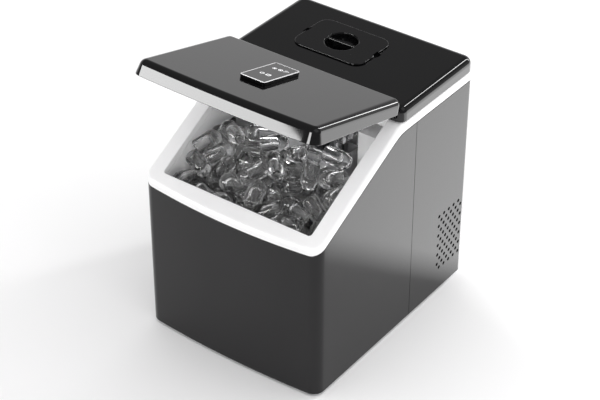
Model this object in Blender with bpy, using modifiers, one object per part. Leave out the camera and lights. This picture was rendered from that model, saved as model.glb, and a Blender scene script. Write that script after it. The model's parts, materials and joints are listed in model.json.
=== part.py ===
"""Countertop ice maker, modelled as an assembly of separate parts.

The origin is on the floor under the middle of the cabinet: +X is to the right as the user
faces the machine, +Y goes to the back and +Z is up.  Sizes in the code are in millimetres,
and the helper functions turn them into metres.
"""
import math

import bmesh
import bpy
from mathutils import Matrix, Vector

MM = 0.001

# Cabinet
WIDTH = 240.0            # over the two flat sides
DEPTH = 295.3            # from the front corners to the back panel
FRONT_BOW = 5.8          # how far the middle of the front stands out
CORNER_R = 13.7          # front corners in plan
REAR_CORNER_R = 6.0
SHEET = 1.2              # steel sheet of the cabinet
FLOOR_GAP = 4.0          # cabinet above the floor
SEAM_Y = 34.8            # where the front and rear sheets meet
GAP = 0.3                # clearance between neighbouring parts

# Slanted top: the sheet's edge and the white frame on it
KNEE_Y = 3.0             # behind this line the top is level
SHEET_TOP = 272.0
SHEET_SLOPE = 0.515
FRAME_TOP = 284.0
FRAME_SLOPE = 0.538
MOUTH_X = 101.0          # half width of the mouth
MOUTH_FRONT = -135.5
MOUTH_BACK = 5.0
REAR_OPENING_X = 100.0   # opening of the frame under the rear cover
REAR_OPENING_Y = (14.0, 136.0)

# Rear cover and fill cap
COVER_FRONT = 5.0
COVER_BACK = 149.3
COVER_HALF_WIDTH = 120.3
COVER_TOP = 302.0
COVER_WALL = 2.5
COVER_CORNER_R = 7.0
COVER_ROUND = 6.0        # rounding of its upper edge
CAP_X = -16.0
CAP_Y = 83.0
CAP_LENGTH = 96.0
CAP_DEPTH = 68.0
CAP_CORNER_R = 14.0
CAP_RISE = 2.0
CAP_ROUND = 1.0
CUP_R = 20.5             # finger recess
CUP_LOW = -14.0          # its underside, measured from the cover's top
FIN_HALF = 1.5           # half thickness of the grip fin
NOTCH_HALF_WIDTH = 5.0   # fingertip notches at the cap's two short ends
NOTCH_DEPTH = 1.6

# Lid: its own axes start at the hinge, with Y to the back and Z out of its top
HINGE_Y = 17.0
HINGE_Z = 293.0
LID_OPEN = 15.0          # degrees above level, front edge up
LID_HALF_WIDTH = 118.5
LID_BACK = -14.3
LID_FRONT = -176.5       # at the front corners
LID_BOW = 4.0
LID_LOW = 0.6
LID_HIGH = 18.0
LID_WALL = 2.5
LID_CORNER_R = 12.0
LID_REAR_CORNER_R = 8.0
LID_ROUND = 6.0          # rounding of its upper edge
LID_LINER_Z = (7.0, 9.0)
PANEL_X = (-21.5, 11.5)
PANEL_Y = (-123.3, -57.3)
ARM_X = (90.5, 96.5)
ARM_SLOT = 1.0           # clearance beside a hinge arm
PIN_HOLE_R = 2.6

# Inner liner, with the water tank as its lower part
LINER_WALL = 2.0
LINER_BACK = 28.0
LINER_STEP = 60.0        # the ledge that carries the ice basket
TANK_X = 90.0
TANK_Y = (-125.0, 20.0)
TANK_FLOOR = 26.0

# Ice making
TRAY_AXIS = (8.0, 226.0)     # y and z of the water tray's pivot
COMB_AXIS = (19.0, 250.0)    # y and z of the ejector comb's pivot
FINGER_PITCH = 24.0
FINGER_ROWS = (-12.0, 0.0)
FINGER_TIP = 218.0

# Refrigeration and air
COMPRESSOR = (-58.0, 95.0)
FAN_AXIS = (97.0, 71.0)      # y and z
VENT_TOP = 112.0
VENT_ROWS = 12
VENT_COLUMNS = 5
VENT_PITCH = (10.2, 6.94)
VENT_START = 92.4
VENT_HOLE_R = 2.3

SLOT_ROWS = 8            # inlet slots on the left-hand side
SLOT_START = 36.0
SLOT_PITCH = 10.0
SLOT_HEIGHT = 3.5
TUBE_R = 2.4
LIQUID_TUBE_R = 2.0
CAPILLARY_R = 1.2

# Cord gland, drain
GLAND = (90.0, 45.0)     # x and z
DRAIN_Y = -60.0
DRAIN_Z = 34.0


def clear_scene():
    for old in list(bpy.data.objects):
        bpy.data.objects.remove(old)


def new_collection(name):
    collection = bpy.data.collections.new(name)
    bpy.context.scene.collection.children.link(collection)
    return collection


clear_scene()
PARTS = new_collection("ice_maker")
CUTTERS = new_collection("cutters")


def material(name, colour, roughness, metallic=0.0, alpha=1.0):
    made = bpy.data.materials.new(name)
    made.use_nodes = True
    shader = made.node_tree.nodes["Principled BSDF"]
    shader.inputs["Base Color"].default_value = (*colour, 1.0)
    shader.inputs["Roughness"].default_value = roughness
    shader.inputs["Metallic"].default_value = metallic
    shader.inputs["Alpha"].default_value = alpha
    return made


GRAPHITE_STEEL = material("graphite_steel", (0.045, 0.043, 0.046), 0.28, 0.6)
WHITE_PLASTIC = material("white_plastic", (0.86, 0.86, 0.86), 0.45)
BLACK_GLOSS = material("black_gloss", (0.022, 0.022, 0.024), 0.08)
BLACK_MATT = material("black_matt", (0.03, 0.03, 0.03), 0.6)
GREY_PLASTIC = material("grey_plastic", (0.42, 0.42, 0.43), 0.5)
CLEAR_PLASTIC = material("clear_plastic", (0.75, 0.78, 0.80), 0.15, 0.0, 0.6)
RUBBER = material("rubber", (0.02, 0.02, 0.02), 0.85)
SILICONE = material("silicone", (0.7, 0.7, 0.7), 0.6)
FOAM = material("foam", (0.80, 0.72, 0.50), 0.95)
GALVANISED = material("galvanised", (0.55, 0.56, 0.58), 0.4, 1.0)
BRIGHT_STEEL = material("bright_steel", (0.62, 0.62, 0.63), 0.22, 1.0)
BLACK_STEEL = material("black_steel", (0.02, 0.02, 0.022), 0.4, 0.5)
ALUMINIUM = material("aluminium", (0.75, 0.76, 0.77), 0.35, 1.0)
COPPER = material("copper", (0.72, 0.35, 0.20), 0.3, 1.0)
BRASS = material("brass", (0.70, 0.55, 0.25), 0.3, 1.0)
BOARD_GREEN = material("board_green", (0.02, 0.16, 0.06), 0.5)


# ---------------------------------------------------------------- shapes

def axis_matrix(axis):
    """Turn local Z to the named world axis."""
    if axis == "X":
        return Matrix(((0, 0, 1, 0), (1, 0, 0, 0), (0, 1, 0, 0), (0, 0, 0, 1)))
    if axis == "Y":
        return Matrix(((0, 1, 0, 0), (0, 0, 1, 0), (1, 0, 0, 0), (0, 0, 0, 1)))
    return Matrix.Identity(4)


def block(bm, x, y, z):
    """Add a box between the low and high values given for each axis."""
    size = Vector((x[1] - x[0], y[1] - y[0], z[1] - z[0])) * MM
    middle = Vector((x[0] + x[1], y[0] + y[1], z[0] + z[1])) * MM / 2
    bmesh.ops.create_cube(bm, size=1.0, matrix=Matrix.Translation(middle) @ Matrix.Diagonal((*size, 1.0)))


def rod(bm, axis, centre, span, radius, end_radius=None, sides=16):
    """Add a cylinder or cone; centre holds the other two coordinates in X, Y, Z order."""
    low, high = span
    if axis == "X":
        middle = Vector(((low + high) / 2, centre[0], centre[1]))
    elif axis == "Y":
        middle = Vector((centre[0], (low + high) / 2, centre[1]))
    else:
        middle = Vector((centre[0], centre[1], (low + high) / 2))
    second = radius if end_radius is None else end_radius
    place = Matrix.Translation(middle * MM) @ axis_matrix(axis)
    bmesh.ops.create_cone(
        bm, cap_ends=True, segments=sides, radius1=radius * MM, radius2=second * MM,
        depth=(high - low) * MM, matrix=place,
    )


def prism(bm, outline, span, axis="Z", holes=()):
    """Add a flat outline drawn as a filled 2D curve and extruded between span's two values."""
    curve = bpy.data.curves.new("outline", "CURVE")
    curve.dimensions = "2D"
    curve.fill_mode = "BOTH"
    curve.extrude = (span[1] - span[0]) / 2 * MM
    for points in (outline, *holes):
        spline = curve.splines.new("POLY")
        spline.points.add(len(points) - 1)
        for target, (u, v) in zip(spline.points, points):
            target.co = (u * MM, v * MM, 0.0, 1.0)
        spline.use_cyclic_u = True
    drawn = bpy.data.objects.new("outline", curve)
    CUTTERS.objects.link(drawn)
    bpy.context.view_layer.update()
    mesh = bpy.data.meshes.new_from_object(drawn.evaluated_get(bpy.context.evaluated_depsgraph_get()))
    middle = Matrix.Translation((0.0, 0.0, (span[0] + span[1]) / 2 * MM))
    mesh.transform(axis_matrix(axis) @ middle)
    bm.from_mesh(mesh)
    bpy.data.objects.remove(drawn)
    bpy.data.curves.remove(curve)
    bpy.data.meshes.remove(mesh)


def mesh_object(name, bm, collection, parent=None):
    """Turn a bmesh into an object whose origin is the middle of its bounding box."""
    bmesh.ops.remove_doubles(bm, verts=bm.verts, dist=0.000002)
    bmesh.ops.recalc_face_normals(bm, faces=bm.faces)
    low = Vector([min(v.co[i] for v in bm.verts) for i in range(3)])
    high = Vector([max(v.co[i] for v in bm.verts) for i in range(3)])
    middle = (low + high) / 2
    bmesh.ops.translate(bm, verts=bm.verts, vec=-middle)
    mesh = bpy.data.meshes.new(name)
    bm.to_mesh(mesh)
    bm.free()
    obj = bpy.data.objects.new(name, mesh)
    obj.location = middle
    obj.parent = parent
    collection.objects.link(obj)
    return obj


def solid(name, mat, bm, parent=None, smooth=False):
    obj = mesh_object(name, bm, PARTS, parent)
    obj.data.materials.append(mat)
    if smooth:
        obj.data.shade_smooth()
        obj.data.set_sharp_from_angle(angle=math.radians(35))
    return obj


def boolean(obj, bm, operation):
    cutter = mesh_object(obj.name + "_" + operation.lower(), bm, CUTTERS, obj.parent)
    cutter.hide_render = True
    cutter.display_type = "WIRE"
    change = obj.modifiers.new(operation.title(), "BOOLEAN")
    change.operation = operation
    change.solver = "EXACT"
    change.object = cutter


def cut(obj, bm):
    boolean(obj, bm, "DIFFERENCE")


def join(obj, bm):
    boolean(obj, bm, "UNION")


def keep_common(obj, bm):
    boolean(obj, bm, "INTERSECT")


def round_top_edges(obj, width, segments):
    """Bevel only the sharp edges that lie in the object's highest plane."""
    bm = bmesh.new()
    bm.from_mesh(obj.data)
    weights = bm.edges.layers.float.new("bevel_weight_edge")
    top = max(v.co.z for v in bm.verts)
    for edge in bm.edges:
        level = all(abs(v.co.z - top) < 0.00001 for v in edge.verts)
        if level and edge.calc_face_angle(0.0) > 1.0:
            edge[weights] = 1.0
    bm.to_mesh(obj.data)
    bm.free()
    bevel = obj.modifiers.new("Bevel", "BEVEL")
    bevel.limit_method = "WEIGHT"
    bevel.width = width * MM
    bevel.segments = segments
    bevel.use_clamp_overlap = False


def softened(points, radius):
    """Cut every inner corner of a path with two points, so that a tube bends more gently."""
    path = [Vector(points[0])]
    for before, corner, after in zip(points, points[1:], points[2:]):
        corner = Vector(corner)
        back = (Vector(before) - corner).normalized() * radius
        ahead = (Vector(after) - corner).normalized() * radius
        path.extend((corner + back, corner + (back + ahead) * 0.3, corner + ahead))
    path.append(Vector(points[-1]))
    return path


def tube(name, mat, points, radius, bend=8.0):
    curve = bpy.data.curves.new(name, "CURVE")
    curve.dimensions = "3D"
    curve.bevel_depth = radius * MM
    curve.bevel_resolution = 2
    curve.use_fill_caps = True
    path = softened(points, bend)
    spline = curve.splines.new("POLY")
    spline.points.add(len(path) - 1)
    for target, point in zip(spline.points, path):
        target.co = (*(point * MM), 1.0)
    obj = bpy.data.objects.new(name, curve)
    curve.materials.append(mat)
    PARTS.objects.link(obj)
    return obj


def turned(name, mat, profile, place, steps=24, parent=None):
    """Spin a profile of (radius, height) points, listed from top to bottom, about Z."""
    mesh = bpy.data.meshes.new(name)
    points = [(r * MM, 0.0, z * MM) for r, z in profile]
    mesh.from_pydata(points, [(i, i + 1) for i in range(len(points) - 1)], [])
    mesh.materials.append(mat)
    obj = bpy.data.objects.new(name, mesh)
    obj.location = Vector(place) * MM
    obj.parent = parent
    PARTS.objects.link(obj)
    screw = obj.modifiers.new("Screw", "SCREW")
    screw.steps = steps
    screw.render_steps = steps
    screw.use_merge_vertices = True
    screw.merge_threshold = 0.00001
    return obj


def pivot(name, place, turn_x=0.0):
    """An empty on a joint's axis, which carries the pieces that move."""
    empty = bpy.data.objects.new(name, None)
    empty.empty_display_size = 0.02
    empty.location = Vector(place) * MM
    empty.rotation_euler = (math.radians(turn_x), 0.0, 0.0)
    PARTS.objects.link(empty)
    return empty


# ---------------------------------------------------------------- outlines

def arc(centre, radius, start, end, steps):
    points = []
    for i in range(steps + 1):
        angle = math.radians(start + (end - start) * i / steps)
        points.append((centre[0] + radius * math.cos(angle), centre[1] + radius * math.sin(angle)))
    return points


def bowed_front(half_width, front, bow, corner_r, inset=0.0, corner_steps=4, bow_steps=8):
    """Plan of a bowed front with round corners, from the right side to the left side."""
    big_r = half_width ** 2 / (2 * bow) + bow / 2
    big_y = front - bow + big_r
    corner_x = half_width - corner_r
    turn = math.degrees(math.asin(corner_x / (big_r - corner_r)))
    corner_y = big_y - (big_r - corner_r) * math.cos(math.radians(turn))
    small = corner_r - inset
    right = arc((corner_x, corner_y), small, 0.0, turn - 90.0, corner_steps)
    middle = arc((0.0, big_y), big_r - inset, turn - 90.0, -turn - 90.0, bow_steps)
    left = arc((-corner_x, corner_y), small, -turn - 90.0, -180.0, corner_steps)
    return right + middle[1:-1] + left


def cabinet_front(inset=0.0):
    return bowed_front(WIDTH / 2, -DEPTH / 2, FRONT_BOW, CORNER_R, inset)


def cabinet_back(inset=0.0, steps=3):
    """Plan of the two rear corners, from the left side to the right side."""
    x = WIDTH / 2 - REAR_CORNER_R
    y = DEPTH / 2 - REAR_CORNER_R
    r = REAR_CORNER_R - inset
    return arc((-x, y), r, 180.0, 90.0, steps) + arc((x, y), r, 90.0, 0.0, steps)


def cabinet_plan(inset=0.0):
    return cabinet_front(inset) + cabinet_back(inset)


def rectangle(x, y):
    return [(x[0], y[0]), (x[1], y[0]), (x[1], y[1]), (x[0], y[1])]


def rounded_rectangle(x, y, radius, steps=4):
    low_x, high_x = x[0] + radius, x[1] - radius
    low_y, high_y = y[0] + radius, y[1] - radius
    return (
        arc((high_x, low_y), radius, -90.0, 0.0, steps)
        + arc((high_x, high_y), radius, 0.0, 90.0, steps)
        + arc((low_x, high_y), radius, 90.0, 180.0, steps)
        + arc((low_x, low_y), radius, 180.0, 270.0, steps)
    )


def top_line(level, slope, y):
    return level - slope * max(0.0, KNEE_Y - y)


def above(level, slope, half_width=140.0):
    """A cutter for all that lies above a slanted top; its outline is in the YZ plane."""
    bm = bmesh.new()
    front = -200.0
    back = 200.0
    outline = [
        (front, top_line(level, slope, front)), (KNEE_Y, level), (back, level),
        (back, 500.0), (front, 500.0),
    ]
    prism(bm, outline, (-half_width, half_width), "X")
    return bm


# ---------------------------------------------------------------- cabinet

def make_base():
    bm = bmesh.new()
    floor = FLOOR_GAP + GAP
    prism(bm, cabinet_plan(SHEET + GAP), (floor, floor + 12.0))
    pan = solid("base_pan", GALVANISED, bm)
    bm = bmesh.new()
    prism(bm, cabinet_plan(SHEET + GAP + 2.0), (floor + 3.0, floor + 20.0))
    cut(pan, bm)
    for side, x in (("left", -95.0), ("right", 95.0)):
        for end, y in (("front", -115.0), ("rear", 120.0)):
            bm = bmesh.new()
            rod(bm, "Z", (x, y), (0.0, FLOOR_GAP), 11.0, end_radius=12.0)
            solid("foot_" + end + "_" + side, RUBBER, bm, smooth=True)


def make_front_sheet():
    seam = SEAM_Y - GAP / 2
    half = WIDTH / 2
    outer = [(half, seam)] + cabinet_front() + [(-half, seam)]
    inner = [(half - SHEET, seam)] + cabinet_front(SHEET) + [(SHEET - half, seam)]
    bm = bmesh.new()
    prism(bm, outer + inner[::-1], (FLOOR_GAP, SHEET_TOP + 5.0))
    sheet = solid("front_sheet", GRAPHITE_STEEL, bm)
    cut(sheet, above(SHEET_TOP, SHEET_SLOPE))
    bm = bmesh.new()
    rod(bm, "X", (DRAIN_Y, DRAIN_Z), (-130.0, -100.0), 6.5)
    cut(sheet, bm)


def vent_holes(bm):
    """Round holes in staggered rows, right through the right-hand side."""
    pitch_y, pitch_z = VENT_PITCH
    for row in range(VENT_ROWS):
        for column in range(VENT_COLUMNS):
            y = VENT_START + pitch_y * (column + 0.5 * (row % 2))
            z = VENT_TOP - pitch_z * row
            rod(bm, "X", (y, z), (110.0, 125.0), VENT_HOLE_R, sides=6)


def vent_slots(bm):
    """Level slots in the left-hand side, where the cooling air comes in."""
    for row in range(SLOT_ROWS):
        z = SLOT_START + SLOT_PITCH * row
        block(bm, (-125.0, -110.0), (92.0, 138.0), (z, z + SLOT_HEIGHT))


def make_rear_sheet():
    seam = SEAM_Y + GAP / 2
    half = WIDTH / 2
    outer = [(-half, seam)] + cabinet_back() + [(half, seam)]
    inner = [(SHEET - half, seam)] + cabinet_back(SHEET) + [(half - SHEET, seam)]
    bm = bmesh.new()
    prism(bm, outer + inner[::-1], (FLOOR_GAP, SHEET_TOP))
    sheet = solid("rear_sheet", GRAPHITE_STEEL, bm)
    bm = bmesh.new()
    vent_holes(bm)
    vent_slots(bm)
    rod(bm, "Y", GLAND, (140.0, 155.0), 7.0)
    cut(sheet, bm)


def make_top_frame():
    """White moulding round the mouth, running back as a band under the rear cover."""
    mouth = rectangle((-MOUTH_X, MOUTH_X), (MOUTH_FRONT, MOUTH_BACK))
    rear = rectangle((-REAR_OPENING_X, REAR_OPENING_X), REAR_OPENING_Y)
    bm = bmesh.new()
    prism(bm, cabinet_plan(), (150.0, FRAME_TOP + 10.0), holes=(mouth, rear))
    frame = solid("top_frame", WHITE_PLASTIC, bm)
    low = SHEET_TOP + GAP
    front = -170.0
    back = 160.0
    band = [
        (front, top_line(low, SHEET_SLOPE, front)), (KNEE_Y, low), (back, low),
        (back, FRAME_TOP), (KNEE_Y, FRAME_TOP), (front, top_line(FRAME_TOP, FRAME_SLOPE, front)),
    ]
    bm = bmesh.new()
    prism(bm, band, (-130.0, 130.0), "X")
    keep_common(frame, bm)


def make_rear_cover():
    low = FRAME_TOP + GAP
    x = (-COVER_HALF_WIDTH, COVER_HALF_WIDTH)
    y = (COVER_FRONT, COVER_BACK)
    bm = bmesh.new()
    prism(bm, rounded_rectangle(x, y, COVER_CORNER_R), (low, COVER_TOP))
    cover = solid("rear_cover", BLACK_GLOSS, bm)
    round_top_edges(cover, COVER_ROUND, 3)
    wall = COVER_WALL
    inner_x = (x[0] + wall, x[1] - wall)
    inner_y = (y[0] + wall, y[1] - wall)
    bm = bmesh.new()
    prism(bm, rounded_rectangle(inner_x, inner_y, COVER_CORNER_R - wall), (low - 5.0, COVER_TOP - wall))
    cut(cover, bm)
    seat_x = (CAP_X - CAP_LENGTH / 2 - GAP, CAP_X + CAP_LENGTH / 2 + GAP)
    seat_y = (CAP_Y - CAP_DEPTH / 2 - GAP, CAP_Y + CAP_DEPTH / 2 + GAP)
    bm = bmesh.new()
    prism(bm, rounded_rectangle(seat_x, seat_y, CAP_CORNER_R + GAP), (COVER_TOP - 1.0, COVER_TOP + 5.0))
    cut(cover, bm)
    bm = bmesh.new()
    for side in (-1, 1):
        notch_x = sorted((CAP_X + side * (CAP_LENGTH / 2 - 2.0), CAP_X + side * (CAP_LENGTH / 2 + 3.5)))
        notch_y = (CAP_Y - NOTCH_HALF_WIDTH, CAP_Y + NOTCH_HALF_WIDTH)
        block(bm, notch_x, notch_y, (COVER_TOP - NOTCH_DEPTH, COVER_TOP + 4.0))
    cut(cover, bm)
    bm = bmesh.new()
    prism(bm, rounded_rectangle((-52.0, 20.0), (61.0, 105.0), 4.0), (low, COVER_TOP + 5.0))
    for side in (-1, 1):
        arm = sorted((side * (ARM_X[0] - ARM_SLOT), side * (ARM_X[1] + ARM_SLOT)))
        block(bm, arm, (COVER_FRONT - 5.0, 19.2), (low - 1.0, COVER_TOP + 5.0))
    cut(cover, bm)


def make_fill_cap():
    carrier = pivot("fill_cap_lift", (CAP_X, CAP_Y, COVER_TOP))
    x = (-CAP_LENGTH / 2, CAP_LENGTH / 2)
    y = (-CAP_DEPTH / 2, CAP_DEPTH / 2)
    bm = bmesh.new()
    prism(bm, rounded_rectangle(x, y, CAP_CORNER_R), (-1.0 + GAP, CAP_RISE))
    cap = solid("fill_cap", BLACK_GLOSS, bm, carrier)
    round_top_edges(cap, CAP_ROUND, 1)
    bm = bmesh.new()
    rod(bm, "Z", (0.0, 0.0), (CUP_LOW, 0.0), CUP_R, end_radius=CUP_R + 1.5, sides=24)
    join(cap, bm)
    bm = bmesh.new()
    rod(bm, "Z", (0.0, 0.0), (CUP_LOW + 2.0, CAP_RISE + 2.0), CUP_R - 3.0, end_radius=CUP_R, sides=24)
    for side in (-1, 1):
        notch_x = sorted((side * (CAP_LENGTH / 2 - 2.5), side * (CAP_LENGTH / 2 + 2.0)))
        block(bm, notch_x, (-NOTCH_HALF_WIDTH, NOTCH_HALF_WIDTH), (-2.0, CAP_RISE + 2.0))
    cut(cap, bm)
    bm = bmesh.new()
    block(bm, (-CUP_R + 1.0, CUP_R - 1.0), (-FIN_HALF, FIN_HALF), (CUP_LOW + 1.0, CAP_RISE - 0.5))
    join(cap, bm)


def make_fill_funnel():
    """Open box under the fill opening, with a spout through the liner's back wall."""
    top = COVER_TOP - COVER_WALL - GAP
    bm = bmesh.new()
    block(bm, (-54.0, 22.0), (59.0, 107.0), (240.0, top))
    funnel = solid("fill_funnel", GREY_PLASTIC, bm)
    bm = bmesh.new()
    block(bm, (-26.0, -6.0), (26.0, 72.0), (226.0, 246.0))
    join(funnel, bm)
    bm = bmesh.new()
    block(bm, (-52.0, 20.0), (61.0, 105.0), (242.0, top + 10.0))
    cut(funnel, bm)
    bm = bmesh.new()
    block(bm, (-24.0, -8.0), (20.0, 70.0), (228.0, 244.0))
    cut(funnel, bm)


# ---------------------------------------------------------------- lid

def make_lid():
    hinge = pivot("lid_hinge", (0.0, HINGE_Y, HINGE_Z), -LID_OPEN)
    make_lid_shell(hinge)
    make_lid_liner(hinge)
    make_control_panel(hinge)
    make_hinge_arms(hinge)


def lid_plan(inset=0.0):
    corner = LID_REAR_CORNER_R
    x = LID_HALF_WIDTH - corner
    y = LID_BACK - corner
    rear = arc((-x, y), corner - inset, 180.0, 90.0, 3) + arc((x, y), corner - inset, 90.0, 0.0, 3)
    return bowed_front(LID_HALF_WIDTH, LID_FRONT, LID_BOW, LID_CORNER_R, inset) + rear


def make_lid_shell(hinge):
    bm = bmesh.new()
    prism(bm, lid_plan(), (LID_LOW, LID_HIGH))
    shell = solid("lid_shell", BLACK_GLOSS, bm, hinge)
    round_top_edges(shell, LID_ROUND, 3)
    bm = bmesh.new()
    prism(bm, lid_plan(LID_WALL), (LID_LOW - 5.0, LID_HIGH - LID_WALL))
    cut(shell, bm)
    bm = bmesh.new()
    for side in (-1, 1):
        arm = sorted((side * (ARM_X[0] - ARM_SLOT), side * (ARM_X[1] + ARM_SLOT)))
        block(bm, arm, (LID_BACK - 8.0, LID_BACK + 3.0), (LID_LOW - 1.0, 5.0))
    cut(shell, bm)


def make_lid_liner(hinge):
    """Pale inner panel that closes the hollow of the lid from below."""
    bm = bmesh.new()
    prism(bm, lid_plan(LID_WALL + GAP), LID_LINER_Z)
    solid("lid_liner", GREY_PLASTIC, bm, hinge)


def make_control_panel(hinge):
    x = PANEL_X
    y = PANEL_Y
    high = LID_HIGH + 4.5
    rim = 1.6
    bm = bmesh.new()
    prism(bm, rounded_rectangle(x, y, 3.0, 2), (LID_HIGH + GAP, high))
    bezel = solid("control_bezel", BRIGHT_STEEL, bm, hinge)
    bm = bmesh.new()
    inner = ((x[0] + rim, x[1] - rim), (y[0] + rim, y[1] - rim))
    prism(bm, rounded_rectangle(*inner, 2.0, 2), (high - 1.8, high + 5.0))
    cut(bezel, bm)
    bm = bmesh.new()
    edge = rim + GAP
    plate = ((x[0] + edge, x[1] - edge), (y[0] + edge, y[1] - edge))
    prism(bm, rounded_rectangle(*plate, 1.8, 2), (high - 1.8 + GAP, high - 0.4))
    solid("touch_plate", BLACK_GLOSS, bm, hinge)
    bm = bmesh.new()
    block(bm, (x[0] - 4.0, x[1] + 4.0), (y[0] - 4.0, y[1] + 4.0), (12.5, 14.1))
    board = solid("display_board", BOARD_GREEN, bm, hinge)
    bm = bmesh.new()
    block(bm, (-16.0, 6.0), (-105.0, -95.0), (10.0, 13.0))
    block(bm, (-12.0, 2.0), (-85.0, -70.0), (10.5, 13.0))
    join(board, bm)


def make_hinge_arms(hinge):
    """Flat arms under the lid liner that end in knuckles on the hinge pins."""
    for name, side in (("left", -1), ("right", 1)):
        x = sorted((side * ARM_X[0], side * ARM_X[1]))
        bm = bmesh.new()
        block(bm, x, (-60.0, 0.0), (1.0, 4.0))
        arm = solid("hinge_arm_" + name, BRIGHT_STEEL, bm, hinge)
        bm = bmesh.new()
        rod(bm, "X", (0.0, 0.0), x, 4.5)
        join(arm, bm)
        bm = bmesh.new()
        block(bm, x, (-60.0, -54.0), (3.0, 6.6))
        join(arm, bm)
        bm = bmesh.new()
        rod(bm, "X", (0.0, 0.0), (x[0] - 5.0, x[1] + 5.0), PIN_HOLE_R)
        cut(arm, bm)


def make_hinge_brackets():
    low = FRAME_TOP + GAP
    for name, side in (("left", -1), ("right", 1)):
        x = sorted((side * 101.0, side * 107.0))
        bm = bmesh.new()
        block(bm, x, (9.0, 25.0), (low, HINGE_Z + 4.5))
        bracket = solid("hinge_bracket_" + name, BLACK_MATT, bm)
        bm = bmesh.new()
        rod(bm, "X", (HINGE_Y, HINGE_Z), (x[0] - 5.0, x[1] + 5.0), PIN_HOLE_R)
        cut(bracket, bm)
        bm = bmesh.new()
        span = sorted((side * 88.0, side * 108.0))
        rod(bm, "X", (HINGE_Y, HINGE_Z), span, 2.2)
        solid("hinge_pin_" + name, BRIGHT_STEEL, bm, smooth=True)


# ---------------------------------------------------------------- cold compartment

def make_liner():
    wall = LINER_WALL
    front = MOUTH_FRONT
    bm = bmesh.new()
    block(bm, (-MOUTH_X - wall, MOUTH_X + wall), (front - wall, LINER_BACK + wall), (LINER_STEP - wall, 290.0))
    liner = solid("inner_liner", WHITE_PLASTIC, bm)
    bm = bmesh.new()
    tank_y = (TANK_Y[0] - wall, TANK_Y[1] + wall)
    block(bm, (-TANK_X - wall, TANK_X + wall), tank_y, (TANK_FLOOR - wall, LINER_STEP))
    join(liner, bm)
    bm = bmesh.new()
    block(bm, (-MOUTH_X, MOUTH_X), (front, LINER_BACK), (LINER_STEP, 300.0))
    cut(liner, bm)
    bm = bmesh.new()
    block(bm, (-TANK_X, TANK_X), TANK_Y, (TANK_FLOOR, LINER_STEP + 5.0))
    cut(liner, bm)
    cut(liner, above(SHEET_TOP, SHEET_SLOPE))
    bm = wall_openings()
    rod(bm, "X", (DRAIN_Y, DRAIN_Z), (-95.0, -85.0), 4.0)
    cut(liner, bm)


def wall_openings():
    """Openings for the fill spout and the two refrigerant tubes in the back wall."""
    bm = bmesh.new()
    block(bm, (-26.4, -5.6), (24.0, 45.0), (225.6, 246.4))
    for x in (-64.0, 64.5):
        rod(bm, "Y", (x, 265.0), (24.0, 45.0), 3.2, sides=12)
    return bm


def make_insulation():
    wall = LINER_WALL + GAP
    outline = [(118.2, 38.0), *cabinet_front(SHEET + GAP), (-118.2, 38.0)]
    hollow = rectangle((-MOUTH_X - wall, MOUTH_X + wall), (MOUTH_FRONT - wall, LINER_BACK + wall))
    bm = bmesh.new()
    prism(bm, outline, (62.0, 290.0), holes=(hollow,))
    foam = solid("insulation", FOAM, bm)
    cut(foam, above(SHEET_TOP - 3.0, SHEET_SLOPE))
    cut(foam, wall_openings())


def make_basket():
    """Tub with narrow slots in its floor and tall ones in its front and back walls."""
    carrier = pivot("basket_lift", (0.0, -78.5, LINER_STEP))
    x = (-97.0, 97.0)
    y = (-52.5, 52.5)
    low, high, wall = 0.4, 130.0, 2.0
    bm = bmesh.new()
    block(bm, x, y, (low, high))
    basket = solid("ice_basket", CLEAR_PLASTIC, bm, carrier)
    bm = bmesh.new()
    block(bm, (x[0] + wall, x[1] - wall), (y[0] + wall, y[1] - wall), (low + wall, high + 5.0))
    cut(basket, bm)
    bm = bmesh.new()
    for i in range(5):
        middle = -72.0 + 36.0 * i
        block(bm, (middle - 3.0, middle + 3.0), (-38.0, 38.0), (-2.0, 4.0))
        block(bm, (middle - 3.0, middle + 3.0), (-60.0, 60.0), (20.0, 100.0))
    cut(basket, bm)


def make_ice_sensors():
    for name, side in (("left", -1), ("right", 1)):
        x = sorted((side * 97.4, side * (MOUTH_X - GAP)))
        bm = bmesh.new()
        block(bm, x, (-22.0, -10.0), (206.0, 218.0))
        sensor = solid("ice_sensor_" + name, BLACK_MATT, bm)
        bm = bmesh.new()
        rod(bm, "X", (-16.0, 212.0), sorted((side * 96.2, side * 98.0)), 3.5, sides=12)
        join(sensor, bm)


# ---------------------------------------------------------------- ice making

def make_evaporator():
    """Cold block with fingers, on which the hollow ice pieces freeze."""
    bm = bmesh.new()
    block(bm, (-60.0, 60.0), (-20.0, 8.0), (248.0, 258.0))
    cold = solid("evaporator", BRIGHT_STEEL, bm)
    bm = bmesh.new()
    for column in range(5):
        for y in FINGER_ROWS:
            rod(bm, "Z", (FINGER_PITCH * (column - 2), y), (FINGER_TIP, 249.0), 4.3, end_radius=5.0, sides=10)
    join(cold, bm)
    outline = [(-18.0, 258.3), (27.7, 258.3), (27.7, 270.0), (25.7, 270.0), (25.7, 260.3), (-18.0, 260.3)]
    bm = bmesh.new()
    prism(bm, outline, (-56.0, 56.0), "X")
    solid("evaporator_bracket", GALVANISED, bm)


def make_water_tray():
    y, z = TRAY_AXIS
    carrier = pivot("tray_tilt", (0.0, y, z))
    bm = bmesh.new()
    block(bm, (-62.0, 62.0), (-30.0, 4.0), (-26.0, 4.0))
    tray = solid("water_tray", GREY_PLASTIC, bm, carrier)
    bm = bmesh.new()
    block(bm, (-60.0, 60.0), (-28.0, 2.0), (-24.0, 10.0))
    cut(tray, bm)
    bm = bmesh.new()
    rod(bm, "X", (0.0, 0.0), (61.0, 70.0), 3.0)
    rod(bm, "X", (0.0, 0.0), (-71.0, -61.0), 3.0)
    join(tray, bm)


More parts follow.
